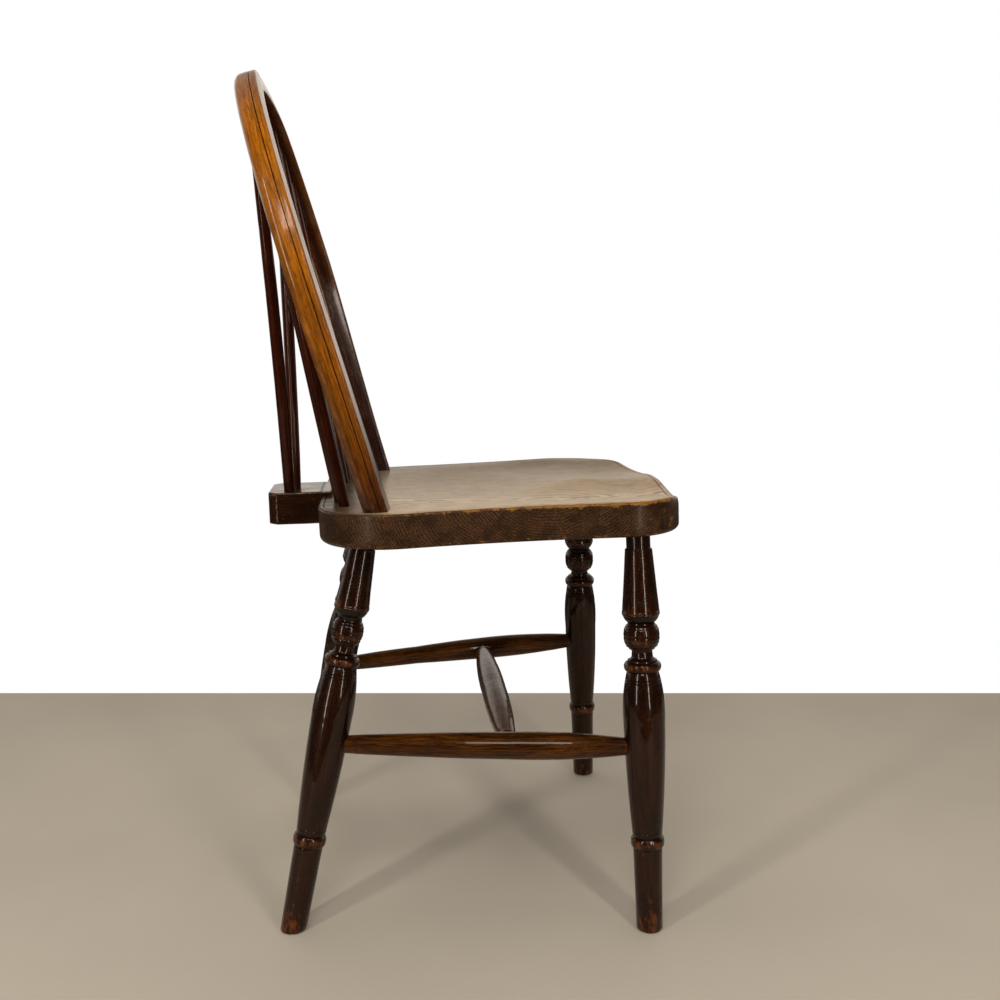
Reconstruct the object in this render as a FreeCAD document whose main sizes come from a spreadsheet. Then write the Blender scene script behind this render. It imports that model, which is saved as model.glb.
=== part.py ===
"""Wheelback Windsor side chair with a bobtail seat and two brace sticks.

The chair stands on the floor plane, faces -Y and is measured in millimetres.  Its origin is on the
floor, in the middle of its overall width and depth.  Every piece is a solid of its own: turned legs
and stretchers sit in blind round sockets, the bow stands through the seat and is wedged from below,
and the sticks and the pierced wheel splat stand between the seat and the bow.
"""

import FreeCAD, Part
import math
import os

import Sketcher

doc = FreeCAD.newDocument("WheelbackChair")
sheet = doc.addObject("Spreadsheet::Sheet", "Sizes")

DRIVING_SIZES = [
    # Seat
    ("seat_height", 450, "floor to the rim of the seat"),
    ("seat_thick", 37, "thickness of the seat board"),
    ("seat_depth", 391, "front of the seat to its rear edge"),
    ("seat_front_width", 410, "width at the front corners"),
    ("seat_rear_width", 392, "width at the rear corners"),
    ("seat_side_draw", 17, "how far each side is drawn in at the waist"),
    ("seat_front_crown", 21, "how far the front edge bows forward"),
    ("front_corner_radius", 56, "front corners in plan"),
    ("rear_corner_radius", 84, "rear corners in plan"),
    ("seat_top_round", 3, "rounding of the upper arris"),
    ("seat_under_round", 6, "rounding of the lower arris"),
    ("saddle_depth", 7, "depth of the saddled hollow"),
    ("saddle_width", 300, "width of the hollow"),
    ("saddle_length", 230, "front to back length of the hollow"),
    ("saddle_setback", 214, "front of the seat to the middle of the hollow"),
    ("thigh_depth", 7, "depth of a thigh hollow"),
    ("thigh_width", 166, "width of a thigh hollow"),
    ("thigh_length", 300, "length of a thigh hollow"),
    ("thigh_spread", 184, "distance between the two thigh hollows"),
    ("thigh_setback", 92, "front of the seat to the middle of a thigh hollow"),
    ("hollow_roundness", 60, "height of the round form that cuts each hollow"),
    # Bobtail
    ("bobtail_reach", 59, "how far the bobtail stands out behind the seat"),
    ("bobtail_width", 82, "width of the bobtail"),
    ("bobtail_clip", 9, "clipped rear corners"),
    ("bobtail_round", 2, "rounding of its long arrises"),
    ("bobtail_tenon_length", 38, "length of its tenon in the seat"),
    ("bobtail_tenon_width", 56, "width of that tenon"),
    ("bobtail_tenon_thick", 13, "thickness of that tenon"),
    # Bow
    ("bow_foot_setback", 329, "front of the seat to the middle of the bow's feet"),
    ("bow_foot_spread", 322, "distance between the middles of the bow's feet"),
    ("bow_rise", 458, "seat to the middle of the crown, along the bow"),
    ("bow_radius", 200, "radius of the round top, at the middle of the rod"),
    ("bow_lean", 15.1, "degrees that the bow leans back"),
    ("bow_face", 26, "depth of the bow's section, front to back"),
    ("bow_edge", 22, "width of the bow's section, across its edge"),
    ("bow_round", 3, "rounding of the two front arrises"),
    ("bow_back_round", 9, "rounding of the two back arrises"),
    ("scribe_setback", 8.5, "front of the bow to the middle of its scribed line"),
    ("scribe_width", 1.6, "width of the scribed line"),
    ("scribe_depth", 0.8, "depth of the scribed line"),
    ("bow_tenon", 19, "diameter of the bow's tenons"),
    ("wedge_length", 20, "length of the wedge in a tenon"),
    ("wedge_thick", 3.2, "thickness of the wedge at its wide end"),
    ("wedge_tip", 0.8, "thickness of the wedge at its thin end"),
    # Sticks
    ("stick_row_inset", 21, "rear edge of the seat to the middle of the stick row"),
    ("stick_row_curve", 7, "how far the outer stick bases stand forward"),
    ("stick_inner_place", 63, "middle of the chair to the inner stick's base"),
    ("stick_base_pitch", 26.5, "distance from one stick's base to the next"),
    ("stick_first_angle", 26, "degrees from the crown to the inner stick's top"),
    ("stick_step_angle", 13, "degrees between the stick tops"),
    ("stick_base", 12, "diameter at the seat"),
    ("stick_belly", 12.8, "diameter at the fullest place"),
    ("stick_tip", 9.6, "diameter at the bow"),
    ("stick_tip_room", 0.5, "extra width of the bow's socket, for the taper"),
    ("stick_low_swell", 0.15, "swell of the surface below the fullest place"),
    ("stick_high_swell", 0.7, "swell of the surface above it"),
    ("belly_share", 0.3, "share of a stick's length, from below, at its fullest"),
    ("stick_seat_socket", 16, "depth of a stick's socket in the seat"),
    ("stick_bow_socket", 9, "depth of a stick's socket in the bow"),
    # Brace sticks
    ("brace_base_spread", 32, "distance between the bases of the brace sticks"),
    ("brace_base_inset", 24, "rear of the bobtail to the brace bases"),
    ("brace_top_angle", 32.5, "degrees from the crown to a brace's top"),
    # Splat
    ("splat_thick", 9, "thickness of the splat"),
    ("splat_foot_width", 66, "width at the seat"),
    ("splat_neck_width", 40, "width at the two necks"),
    ("splat_head_width", 62, "width at the bow"),
    ("lower_neck_rise", 112, "seat to the lower neck"),
    ("upper_neck_rise", 350, "seat to the upper neck"),
    ("wheel_rise", 238, "seat to the middle of the wheel, along the splat"),
    ("wheel_width", 108, "outer diameter of the wheel"),
    ("wheel_rim", 11, "width of the wheel's rim"),
    ("wheel_hub", 24, "diameter of the wheel's hub"),
    ("spoke_width", 6, "width of a spoke at the hub"),
    ("spoke_count", 8, "spokes in the wheel"),
    ("tear_width", 15, "width of a teardrop piercing at its round end"),
    ("tear_length", 62, "length of a teardrop piercing"),
    ("splat_tenon_width", 38, "width of both tenons"),
    ("splat_foot_hollow", 3.5, "how far its sides are hollowed below the lower neck"),
    ("splat_wheel_hollow", 6, "how far they are hollowed between that neck and the wheel"),
    ("splat_head_hollow", 4, "how far they are hollowed beside and above the upper neck"),
    ("wheel_join", 0.36, "share of the wheel's width at which the sides meet its rim"),
    ("splat_seat_tenon", 14, "depth of the tenon in the seat"),
    ("splat_bow_tenon", 8, "depth of the tenon in the bow"),
    # Legs
    ("front_foot_spread", 422, "between the middles of the front feet"),
    ("front_top_spread", 346, "between the front legs where they meet the seat"),
    ("front_foot_setback", 57, "front of the seat to the middle of the front feet"),
    ("front_top_setback", 62, "front of the seat to the tops of the front legs"),
    ("rear_foot_spread", 328, "between the middles of the rear feet"),
    ("rear_top_spread", 236, "between the rear legs where they meet the seat"),
    ("rear_foot_setback", 433, "front of the seat to the middle of the rear feet"),
    ("rear_top_setback", 343, "front of the seat to the tops of the rear legs"),
    ("leg_socket", 23, "depth of a leg's socket in the seat"),
    ("leg_tenon", 25, "diameter of a leg's tenon"),
    ("tenon_show", 11, "length of the tenon that shows under the seat"),
    ("leg_top", 27.6, "diameter at the top of the flared piece"),
    ("cone_width", 39, "diameter of the flared piece at its foot"),
    ("cove_width", 27.6, "diameter of the cove over the ball"),
    ("ball_width", 37, "diameter of the ball"),
    ("ball_tall", 25, "height of the ball"),
    ("neck_width", 21.6, "diameter of the neck"),
    ("collar_width", 29, "diameter on top of the upper ring"),
    ("ring_width", 38.6, "diameter of the upper ring"),
    ("shoulder_width", 33.4, "diameter under the upper ring"),
    ("vase_width", 43, "diameter of the vase at its fullest"),
    ("shin_width", 30.6, "diameter over and under the lower ring"),
    ("lower_ring_width", 34.8, "diameter of the lower ring"),
    ("foot_width", 27.4, "diameter at the foot"),
    ("foot_round", 3, "rounding of the foot"),
    ("vase_swell", 1.1, "how far the vase's lower flank swells"),
    ("vase_neck_swell", 2, "how far its upper flank swells"),
    ("neck_cove", 1.2, "how far the surface under the neck is hollowed"),
    ("cone_swell", 1.6, "swell of the round under the flared piece"),
    ("cone_rise", 339, "floor to the foot of the flared piece"),
    ("ball_rise", 313.5, "floor to the middle of the ball"),
    ("neck_rise", 295, "floor to the neck"),
    ("ring_rise", 282, "floor to the middle of the upper ring"),
    ("vase_rise", 222, "floor to the fullest place of the vase"),
    ("lower_ring_rise", 96, "floor to the middle of the lower ring"),
    ("ring_tall", 11, "height of each ring"),
    # Stretchers
    ("stretcher_rise", 196, "floor to the middle of the stretchers"),
    ("stretcher_end", 18.4, "diameter of a side stretcher where it enters a leg"),
    ("side_belly", 28.6, "fullest diameter of a side stretcher"),
    ("stretcher_socket", 15, "depth of a side stretcher's socket in a leg"),
    ("belly_place", 0.42, "share of a side stretcher, from the front, at its belly"),
    ("side_swell", 2.4, "swell of its surface in front of the belly"),
    ("side_rear_swell", 0.7, "swell of each half of its surface behind the belly"),
    ("side_rear_fullness", 1.6, "extra diameter half-way from the belly to the rear leg"),
    ("cross_end", 19, "diameter of the cross stretcher beside its tenons"),
    ("cross_belly", 29.5, "fullest diameter of the cross stretcher"),
    ("cross_tenon", 13.6, "diameter of the cross stretcher's tenons"),
    ("cross_socket", 11, "depth of its sockets in the side stretchers"),
    ("cross_tenon_show", 1.5, "length of each tenon that stays outside its socket"),
    ("cross_shoulder", 7, "length of the round shoulder beside each tenon"),
    ("cross_shoulder_swell", 1, "swell of that shoulder"),
    ("cross_swell", 1.8, "swell of the surface from each shoulder to the middle"),
    # Fit
    ("clearance", 0.15, "gap all round a tenon in its socket"),
]


def fill_sheet():
    """Write every driving size to the sheet under its own alias."""
    for row, (alias, value, note) in enumerate(DRIVING_SIZES, start=1):
        sheet.set("A%d" % row, alias)
        sheet.set("B%d" % row, str(value))
        sheet.set("C%d" % row, note)
        sheet.setAlias("B%d" % row, alias)
    doc.recompute()


def size(alias):
    """Value of one driving size."""
    return float(sheet.get(alias))


def cell(alias):
    """Expression that points at one driving size."""
    return "Sizes." + alias


def vector(x, y, z):
    return FreeCAD.Vector(x, y, z)


fill_sheet()

# Places that the whole chair shares, worked out from the driving sizes
LEAN = math.radians(size("bow_lean"))
UP_THE_BOW = vector(0, math.sin(LEAN), math.cos(LEAN))
BOW_REACH = (
    size("bow_foot_setback")
    + (size("bow_rise") + size("bow_edge") / 2 - size("bow_back_round")) * math.sin(LEAN)
    + (size("bow_face") / 2 - size("bow_back_round")) * math.cos(LEAN)
    + size("bow_back_round")
)
FRONT = -BOW_REACH / 2
SEAT_TOP = size("seat_height")
SEAT_UNDER = SEAT_TOP - size("seat_thick")
SEAT_REAR = FRONT + size("seat_depth")
BOBTAIL_REAR = SEAT_REAR + size("bobtail_reach")
BOW_FOOT_Y = FRONT + size("bow_foot_setback")
ARC_RISE = size("bow_rise") - size("bow_radius")
FOOT_X = size("bow_foot_spread") / 2
SIDES = (("right", -1), ("left", 1))


def body_plane(body, role):
    """Origin plane of a body, found by its role."""
    return next(item for item in body.Origin.OriginFeatures if item.Role == role)


def new_body(name):
    body = doc.addObject("PartDesign::Body", name)
    body.Label = name
    return body


def new_sketch(body, name, role="XY_Plane"):
    """Empty sketch on one of the body's own origin planes."""
    sketch = body.newObject("Sketcher::SketchObject", name)
    sketch.AttachmentSupport = [(body_plane(body, role), "")]
    sketch.MapMode = "FlatFace"
    return sketch


def tie(sketch, kind, targets, value, expression):
    """Add a dimension to a sketch and bind it to the sheet."""
    index = sketch.addConstraint(Sketcher.Constraint(kind, *targets, value))
    sketch.setExpression("Constraints[%d]" % index, expression)


def place_point(sketch, geometry, end, x, y):
    """Fix one end of a curve.  x and y are (value, expression) pairs."""
    for kind, other_kind, (value, expression) in (
        ("DistanceX", "PointOnObject", x),
        ("DistanceY", "PointOnObject", y),
    ):
        if abs(value) < 1e-9:
            axis = -2 if kind == "DistanceX" else -1
            sketch.addConstraint(Sketcher.Constraint(other_kind, geometry, end, axis))
        else:
            tie(sketch, kind, (-1, 1, geometry, end), value, expression)


def amount(expression):
    """Number that an expression in the sheet's aliases gives."""
    result = sheet.evalExpression(expression)
    return float(getattr(result, "Value", result))


def arc_radius(chord_x, chord_y, bulge):
    """Expression for the radius of an arc, from its chord and its bulge."""
    return "((%s)^2 + (%s)^2) / (8 * abs(%s)) + abs(%s) / 2" % (chord_x, chord_y, bulge, bulge)


def near_end(sketch, geometry, point):
    """Which end of a curve, 1 or 2, lies at a point."""
    gaps = [sketch.getPoint(geometry, end).distanceToPoint(point) for end in (1, 2)]
    return 1 if gaps[0] < gaps[1] else 2


def draw_loop(sketch, corners, closed=True):
    """Draw a loop of lines and arcs whose corners are bound to the sheet.

    Each corner is (x expression, y expression, bulge expression).  The bulge belongs to the curve
    that arrives at the corner: nought for a line, and positive where the arc swells to the right
    of the way that the loop runs.
    """
    points = [vector(amount(x), amount(y), 0) for x, y, bulge in corners]
    curves = []
    count = len(corners)
    for index in range(0 if closed else 1, count):
        before, here = points[index - 1], points[index]
        bulge = amount(corners[index][2])
        if abs(bulge) < 1e-9:
            curves.append(sketch.addGeometry(Part.LineSegment(before, here)))
            continue
        along = here - before
        side = vector(along.y, -along.x, 0).normalize()
        middle = (before + here) * 0.5 + side * bulge
        curves.append(sketch.addGeometry(Part.Arc(before, middle, here)))
    for index, curve in enumerate(curves):
        follower = curves[(index + 1) % len(curves)]
        corner = index if closed else index + 1
        here = points[corner]
        if closed or index + 1 < len(curves):
            ends = near_end(sketch, curve, here), near_end(sketch, follower, here)
            sketch.addConstraint(Sketcher.Constraint("Coincident", curve, ends[0], follower, ends[1]))
    for index, curve in enumerate(curves):
        corner = index if closed else index + 1
        x, y, bulge = corners[corner]
        here = points[corner]
        place_point(sketch, curve, near_end(sketch, curve, here), (here.x, x), (here.y, y))
        if abs(amount(bulge)) > 1e-9:
            back = corners[corner - 1]
            radius = arc_radius("(%s) - (%s)" % (x, back[0]), "(%s) - (%s)" % (y, back[1]), bulge)
            tie(sketch, "Radius", (curve,), amount(radius), radius)
    return curves


def pad(body, sketch, expression, midplane=False):
    feature = body.newObject("PartDesign::Pad", sketch.Name + "_pad")
    feature.Profile = sketch
    feature.Midplane = midplane
    feature.setExpression("Length", expression)
    sketch.Visibility = False
    return feature


def turned(name, stations):
    """Body turned about its own Z axis.

    Each station is (height, diameter, bulge), all expressions; the bulge is that of the surface
    below the station, and is positive where the surface swells outwards.
    """
    body = new_body(name)
    sketch = new_sketch(body, name + "_profile", "XZ_Plane")
    corners = [("0", stations[0][0], "0")]
    corners += [("(%s) / 2" % width, rise, bulge) for rise, width, bulge in stations]
    corners += [("0", stations[-1][0], "0")]
    draw_loop(sketch, corners)
    feature = body.newObject("PartDesign::Revolution", name + "_turning")
    feature.Profile = sketch
    feature.ReferenceAxis = (sketch, ["V_Axis"])
    feature.Angle = 360
    doc.recompute()
    return body


def stand(item, foot, way):
    """Place an object with its own Z axis from a foot along a way."""
    item.Placement = FreeCAD.Placement(foot, FreeCAD.Rotation(vector(0, 0, 1), way))
    return item


def rod_tool(name, foot, way, length, width):
    """Cylinder that cuts a round socket.  The width is an expression."""
    tool = doc.addObject("Part::Cylinder", name)
    tool.setExpression("Radius", "(%s) / 2" % width)
    tool.Height = length
    return stand(tool, foot, way)


def box_tool(name, low, high):
    """Box between two opposite corners."""
    tool = doc.addObject("Part::Box", name)
    tool.Length, tool.Width, tool.Height = high.x - low.x, high.y - low.y, high.z - low.z
    tool.Placement.Base = low
    return tool


def joined(name, items):
    if len(items) == 1:
        return items[0]
    whole = doc.addObject("Part::MultiFuse", name)
    whole.Shapes = items
    return whole


def cut(name, base, tools):
    """Base less all the tools, under a name of its own."""
    result = doc.addObject("Part::Cut", name)
    result.Base = base
    result.Tool = joined(name + "_sockets", tools)
    result.Label = name
    return result


def edges_where(shape, test):
    """Names of the edges whose every point passes a test."""
    names = []
    for index, edge in enumerate(shape.Edges, start=1):
        first, last = edge.FirstParameter, edge.LastParameter
        samples = [edge.valueAt(first + (last - first) * share) for share in (0, 0.3, 0.7, 1)]
        if all(test(point) for point in samples):
            names.append("Edge%d" % index)
    return names


def round_edges(body, test, expression, name):
    """Fillet on the edges that pass a test, with its radius bound to the sheet."""
    doc.recompute()
    last = body.Tip
    feature = body.newObject("PartDesign::Fillet", name)
    feature.Base = (last, edges_where(last.Shape, test))
    feature.setExpression("Radius", expression)
    doc.recompute()
    return feature


def at(value, target, slack=0.01):
    return abs(value - target) < slack


ROOM = "2 * Sizes.clearance"
BEYOND = 40
WIDE = 600
socket_tools = {"seat": [], "bobtail": [], "bow": []}
parts = {}


def bow_place(angle, outward=0.0):
    """Point on the bow's round top, at an angle from the crown, outside its middle line."""
    radius = size("bow_radius") + outward
    across = radius * math.sin(math.radians(angle))
    along = ARC_RISE + radius * math.cos(math.radians(angle))
    return vector(across, BOW_FOOT_Y, SEAT_TOP) + UP_THE_BOW * along


def make_stick(name, base, target, base_depth, base_piece):
    """Round stick from a socket in the seat or bobtail to a socket in the bow."""
    way = (target - base).normalize()
    foot = base - way * base_depth
    short = size("bow_edge") / 2 - size("stick_bow_socket")
    length = (target - foot).Length - short
    belly = base_depth + (length - base_depth) * size("belly_share")
    stick = turned(name, [
        ("0", cell("stick_base"), "0"),
        (str(base_depth), cell("stick_base"), "0"),
        (str(belly), cell("stick_belly"), cell("stick_low_swell")),
        (str(length), cell("stick_tip"), cell("stick_high_swell")),
    ])
    stand(stick, foot, way)
    seat_end = foot - way * size("clearance")
    socket_tools[base_piece].append(rod_tool(
        name + "_base_socket", seat_end, way, base_depth + BEYOND, cell("stick_base") + " + " + ROOM
    ))
    top_start = foot + way * (length - BEYOND)
    top_width = "Sizes.stick_tip + Sizes.stick_tip_room + " + ROOM
    socket_tools["bow"].append(rod_tool(
        name + "_top_socket", top_start, way, BEYOND + size("clearance"), top_width
    ))
    parts[name] = stick


def make_back_sticks():
    places = ("inner", "middle", "outer")
    for side, sign in SIDES:
        for step, place in enumerate(places):
            across = size("stick_inner_place") + step * size("stick_base_pitch")
            curve = size("stick_row_curve") * (step / (len(places) - 1)) ** 2
            base = vector(sign * across, SEAT_REAR - size("stick_row_inset") - curve, SEAT_TOP)
            angle = size("stick_first_angle") + step * size("stick_step_angle")
            target = bow_place(sign * angle)
            name = "back_stick_%s_%s" % (side, place)
            make_stick(name, base, target, size("stick_seat_socket"), "seat")


def make_brace_sticks():
    for side, sign in SIDES:
        base_y = BOBTAIL_REAR - size("brace_base_inset")
        base = vector(sign * size("brace_base_spread") / 2, base_y, SEAT_TOP)
        target = bow_place(sign * size("brace_top_angle"))
        make_stick("brace_stick_" + side, base, target, size("stick_seat_socket"), "bobtail")


def leg_line(kind, sign):
    """Foot and seat point of a leg's middle line."""
    foot = vector(
        sign * size(kind + "_foot_spread") / 2, FRONT + size(kind + "_foot_setback"), 0
    )
    top = vector(
        sign * size(kind + "_top_spread") / 2, FRONT + size(kind + "_top_setback"), SEAT_UNDER
    )
    return foot, top


def on_leg(kind, sign, rise):
    """Point on a leg's middle line at a height above the floor."""
    foot, top = leg_line(kind, sign)
    return foot + (top - foot) * (rise / SEAT_UNDER)


def leg_stations(stretch, seat_along, end_along):
    """Profile of a turned leg; heights above the floor are stretched along its rake."""

    def rise(expression):
        return "(%s) * %r" % (expression, stretch)

    half_ring = "Sizes.ring_tall / 2"
    half_ball = "Sizes.ball_tall / 2"
    return [
        ("-2 * Sizes.foot_round", cell("foot_width"), "0"),
        (rise("Sizes.lower_ring_rise - " + half_ring), cell("shin_width"), "0"),
        (
            rise("Sizes.lower_ring_rise + " + half_ring),
            cell("shin_width"),
            "(Sizes.lower_ring_width - Sizes.shin_width) / 2",
        ),
        (rise(cell("vase_rise")), cell("vase_width"), cell("vase_swell")),
        (rise("Sizes.ring_rise - " + half_ring), cell("shoulder_width"), cell("vase_neck_swell")),
        (
            rise("Sizes.ring_rise + " + half_ring),
            cell("collar_width"),
            "(2 * Sizes.ring_width - Sizes.shoulder_width - Sizes.collar_width) / 4",
        ),
        (rise(cell("neck_rise")), cell("neck_width"), "-Sizes.neck_cove"),
        (
            rise("Sizes.ball_rise + " + half_ball),
            cell("cove_width"),
            "(2 * Sizes.ball_width - Sizes.neck_width - Sizes.cove_width) / 4",
        ),
        (rise(cell("cone_rise")), cell("cone_width"), cell("cone_swell")),
        (str(seat_along - size("tenon_show")), cell("leg_top"), "0"),
        (str(seat_along - size("tenon_show")), cell("leg_tenon"), "0"),
        (str(end_along), cell("leg_tenon"), "0"),
    ]


def make_leg(kind, side, sign, socket_lines):
    """One leg, cut level at the floor and bored for its stretcher."""
    name = "leg_%s_%s" % (kind, side)
    foot, top = leg_line(kind, sign)
    way = (top - foot).normalize()
    seat_along = (top - foot).Length
    end_along = seat_along + size("leg_socket")
    blank = turned(name + "_blank", leg_stations(seat_along / SEAT_UNDER, seat_along, end_along))
    stand(blank, foot, way)
    below_floor = box_tool(
        name + "_floor", foot + vector(-BEYOND, -BEYOND, -BEYOND), foot + vector(BEYOND, BEYOND, 0)
    )
    start, along, depth = socket_lines
    socket = rod_tool(name + "_socket", start, along, depth, cell("stretcher_end") + " + " + ROOM)
    level = cut(name + "_level", blank, [below_floor, socket])
    doc.recompute()
    rounded = doc.addObject("Part::Fillet", name)
    rounded.Base = level
    radius = size("foot_round")
    rims = edges_where(level.Shape, lambda point: at(point.z, 0))
    rounded.Edges = [(int(rim[4:]), radius, radius) for rim in rims]
    rounded.Label = name
    socket_tools["seat"].append(rod_tool(
        name + "_seat_socket",
        top - way * BEYOND,
        way,
        BEYOND + size("leg_socket") + size("clearance"),
        cell("leg_tenon") + " + " + ROOM,
    ))
    parts[name] = rounded


def make_side_frame(side, sign):
    """Two legs of one side with the stretcher between them; gives the place of the stretcher's belly."""
    front = on_leg("front", sign, size("stretcher_rise"))
    rear = on_leg("rear", sign, size("stretcher_rise"))
    way = (rear - front).normalize()
    inset = size("vase_width") / 2 - size("stretcher_socket")
    foot = front + way * inset
    length = (rear - front).Length - 2 * inset
    room = size("clearance")
    make_leg("front", side, sign, (foot - way * room, way, BEYOND))
    make_leg("rear", side, sign, (rear - way * (inset - room), way * -1, BEYOND))

    name = "side_stretcher_" + side
    belly = (rear - front).Length * size("belly_place") - inset
    half = (length - belly) / 2
    halfway_width = "(Sizes.side_belly + Sizes.stretcher_end) / 2 + Sizes.side_rear_fullness"
    blank = turned(name + "_blank", [
        ("0", cell("stretcher_end"), "0"),
        (str(size("stretcher_socket") + room), cell("stretcher_end"), "0"),
        (str(belly), cell("side_belly"), cell("side_swell")),
        (str(belly + half), halfway_width, cell("side_rear_swell")),
        (str(length), cell("stretcher_end"), cell("side_rear_swell")),
    ])
    stand(blank, foot, way)
    return name, blank, front + way * (belly + inset)


def make_stretchers_and_legs():
    bellies = {}
    for side, sign in SIDES:
        name, blank, belly = make_side_frame(side, sign)
        bellies[side] = (name, blank, belly)
    right, left = bellies["right"][2], bellies["left"][2]
    way = (left - right).normalize()
    surface = size("side_belly") / 2
    inset = surface - size("cross_socket")
    foot = right + way * inset
    length = (left - right).Length - 2 * inset
    tenon = size("cross_socket") + size("cross_tenon_show")
    shoulder = tenon + size("cross_shoulder")
    cross = turned("cross_stretcher", [
        ("0", cell("cross_tenon"), "0"),
        (str(tenon), cell("cross_tenon"), "0"),
        (str(shoulder), cell("cross_end"), cell("cross_shoulder_swell")),
        (str(length / 2), cell("cross_belly"), cell("cross_swell")),
        (str(length - shoulder), cell("cross_end"), cell("cross_swell")),
        (str(length - tenon), cell("cross_tenon"), cell("cross_shoulder_swell")),
        (str(length), cell("cross_tenon"), "0"),
    ])
    parts["cross_stretcher"] = stand(cross, foot, way)
    room = size("clearance")
    for side, (name, blank, belly) in bellies.items():
        inward = way if side == "right" else way * -1
        start = belly + inward * (inset - room)
        socket = rod_tool(name + "_socket", start, inward, BEYOND, cell("cross_tenon") + " + " + ROOM)
        parts[name] = cut(name, blank, [socket])


def hoop_loop(outward):
    """Radius and rise of the round top, then its spring and the foot below it on one side."""
    radius = "(Sizes.bow_radius + (%s))" % outward
    rise = "(Sizes.bow_rise - Sizes.bow_radius)"
    spread = "(Sizes.bow_foot_spread / 2)"
    reach = "sqrt(%s^2 + %s^2)" % (spread, rise)
    flare = "(asin(Sizes.bow_radius / %s) - atan(%s / %s))" % (reach, spread, rise)
    spring = ("%s * cos(%s)" % (radius, flare), "%s - %s * sin(%s)" % (rise, radius, flare))
    below = "Sizes.bow_tenon"
    foot_x = "%s - (%s + %s) * tan(%s)" % (spring[0], spring[1], below, flare)
    return radius, rise, spring, (foot_x, "-" + below)


def mirrored(expression):
    return "-(%s)" % expression


def draw_hoop(sketch, outer_shift, inner_shift):
    """Closed outline of the bow between two offsets from its middle line."""
    corners = []
    for shift, way_round in ((outer_shift, ""), (inner_shift, "-")):
        radius, rise, spring, foot = hoop_loop(shift)
        crown = "%s + %s" % (rise, radius)
        chord = "sqrt((%s)^2 + (%s - (%s))^2)" % (spring[0], crown, spring[1])
        swell = "%s(%s - sqrt(%s^2 - (%s)^2 / 4))" % (way_round, radius, radius, chord)
        arch = [
            (foot[0], foot[1], "0"),
            (spring[0], spring[1], "0"),
            ("0", crown, swell),
            (mirrored(spring[0]), spring[1], swell),
            (mirrored(foot[0]), foot[1], "0"),
        ]
        if way_round:
            arch = [(mirrored(x), y, bulge) for x, y, bulge in arch]
        corners += arch
    draw_loop(sketch, corners)


FOOT_REACH = math.hypot(FOOT_X, ARC_RISE)
FLARE = math.asin(size("bow_radius") / FOOT_REACH) - math.atan(FOOT_X / ARC_RISE)
EMBED = 10


def hoop_placement():
    """Stand a flat outline, drawn upright from the bow's feet, at the bow's lean."""
    turn = FreeCAD.Rotation(vector(1, 0, 0), 90 - size("bow_lean"))
    return FreeCAD.Placement(vector(0, BOW_FOOT_Y, SEAT_TOP), turn)


def make_hoop():
    """Bent rod of the bow, with rounded arrises and a line scribed round its outer edge."""
    body = new_body("bow_hoop")
    outline = new_sketch(body, "bow_outline")
    draw_hoop(outline, "Sizes.bow_edge / 2", "-Sizes.bow_edge / 2")
    pad(body, outline, cell("bow_face"), midplane=True)
    half_face = size("bow_face") / 2
    end_y = -size("bow_tenon")
    for share, expression, name in ((1, "bow_round", "front"), (-1, "bow_back_round", "back")):
        face_z = share * half_face
        round_edges(
            body,
            lambda point: at(point.z, face_z) and not at(point.y, end_y),
            cell(expression),
            "bow_%s_rounding" % name,
        )
    line = new_sketch(body, "bow_scribed_line")
    line.setExpression("AttachmentOffset.Base.z", "Sizes.bow_face / 2 - Sizes.scribe_setback")
    draw_hoop(line, "Sizes.bow_edge", "Sizes.bow_edge / 2 - Sizes.scribe_depth")
    groove = body.newObject("PartDesign::Pocket", "bow_scribed_groove")
    groove.Profile = line
    groove.Midplane = True
    groove.setExpression("Length", cell("scribe_width"))
    line.Visibility = False
    body.Placement = hoop_placement()
    seat_level = box_tool(
        "bow_seat_level", vector(-WIDE, -WIDE, SEAT_TOP - WIDE), vector(WIDE, WIDE, SEAT_TOP)
    )
    return cut("bow_above_seat", body, [seat_level])


def make_wedge_form(name, exit_point, way):
    """Tapered form, thin end up, that splits a tenon from below."""
    body = new_body(name)
    profile = new_sketch(body, name + "_profile", "XZ_Plane")
    below = "-Sizes.bow_tenon / 2"
    draw_loop(profile, [
        ("-Sizes.wedge_thick / 2", "0", "0"),
        ("-Sizes.wedge_thick / 2", below, "0"),
        ("Sizes.wedge_thick / 2", below, "0"),
        ("Sizes.wedge_thick / 2", "0", "0"),
        ("Sizes.wedge_tip / 2", cell("wedge_length"), "0"),
        ("-Sizes.wedge_tip / 2", cell("wedge_length"), "0"),
    ])
    pad(body, profile, "2 * Sizes.bow_tenon", midplane=True)
    return stand(body, exit_point, way)


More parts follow.
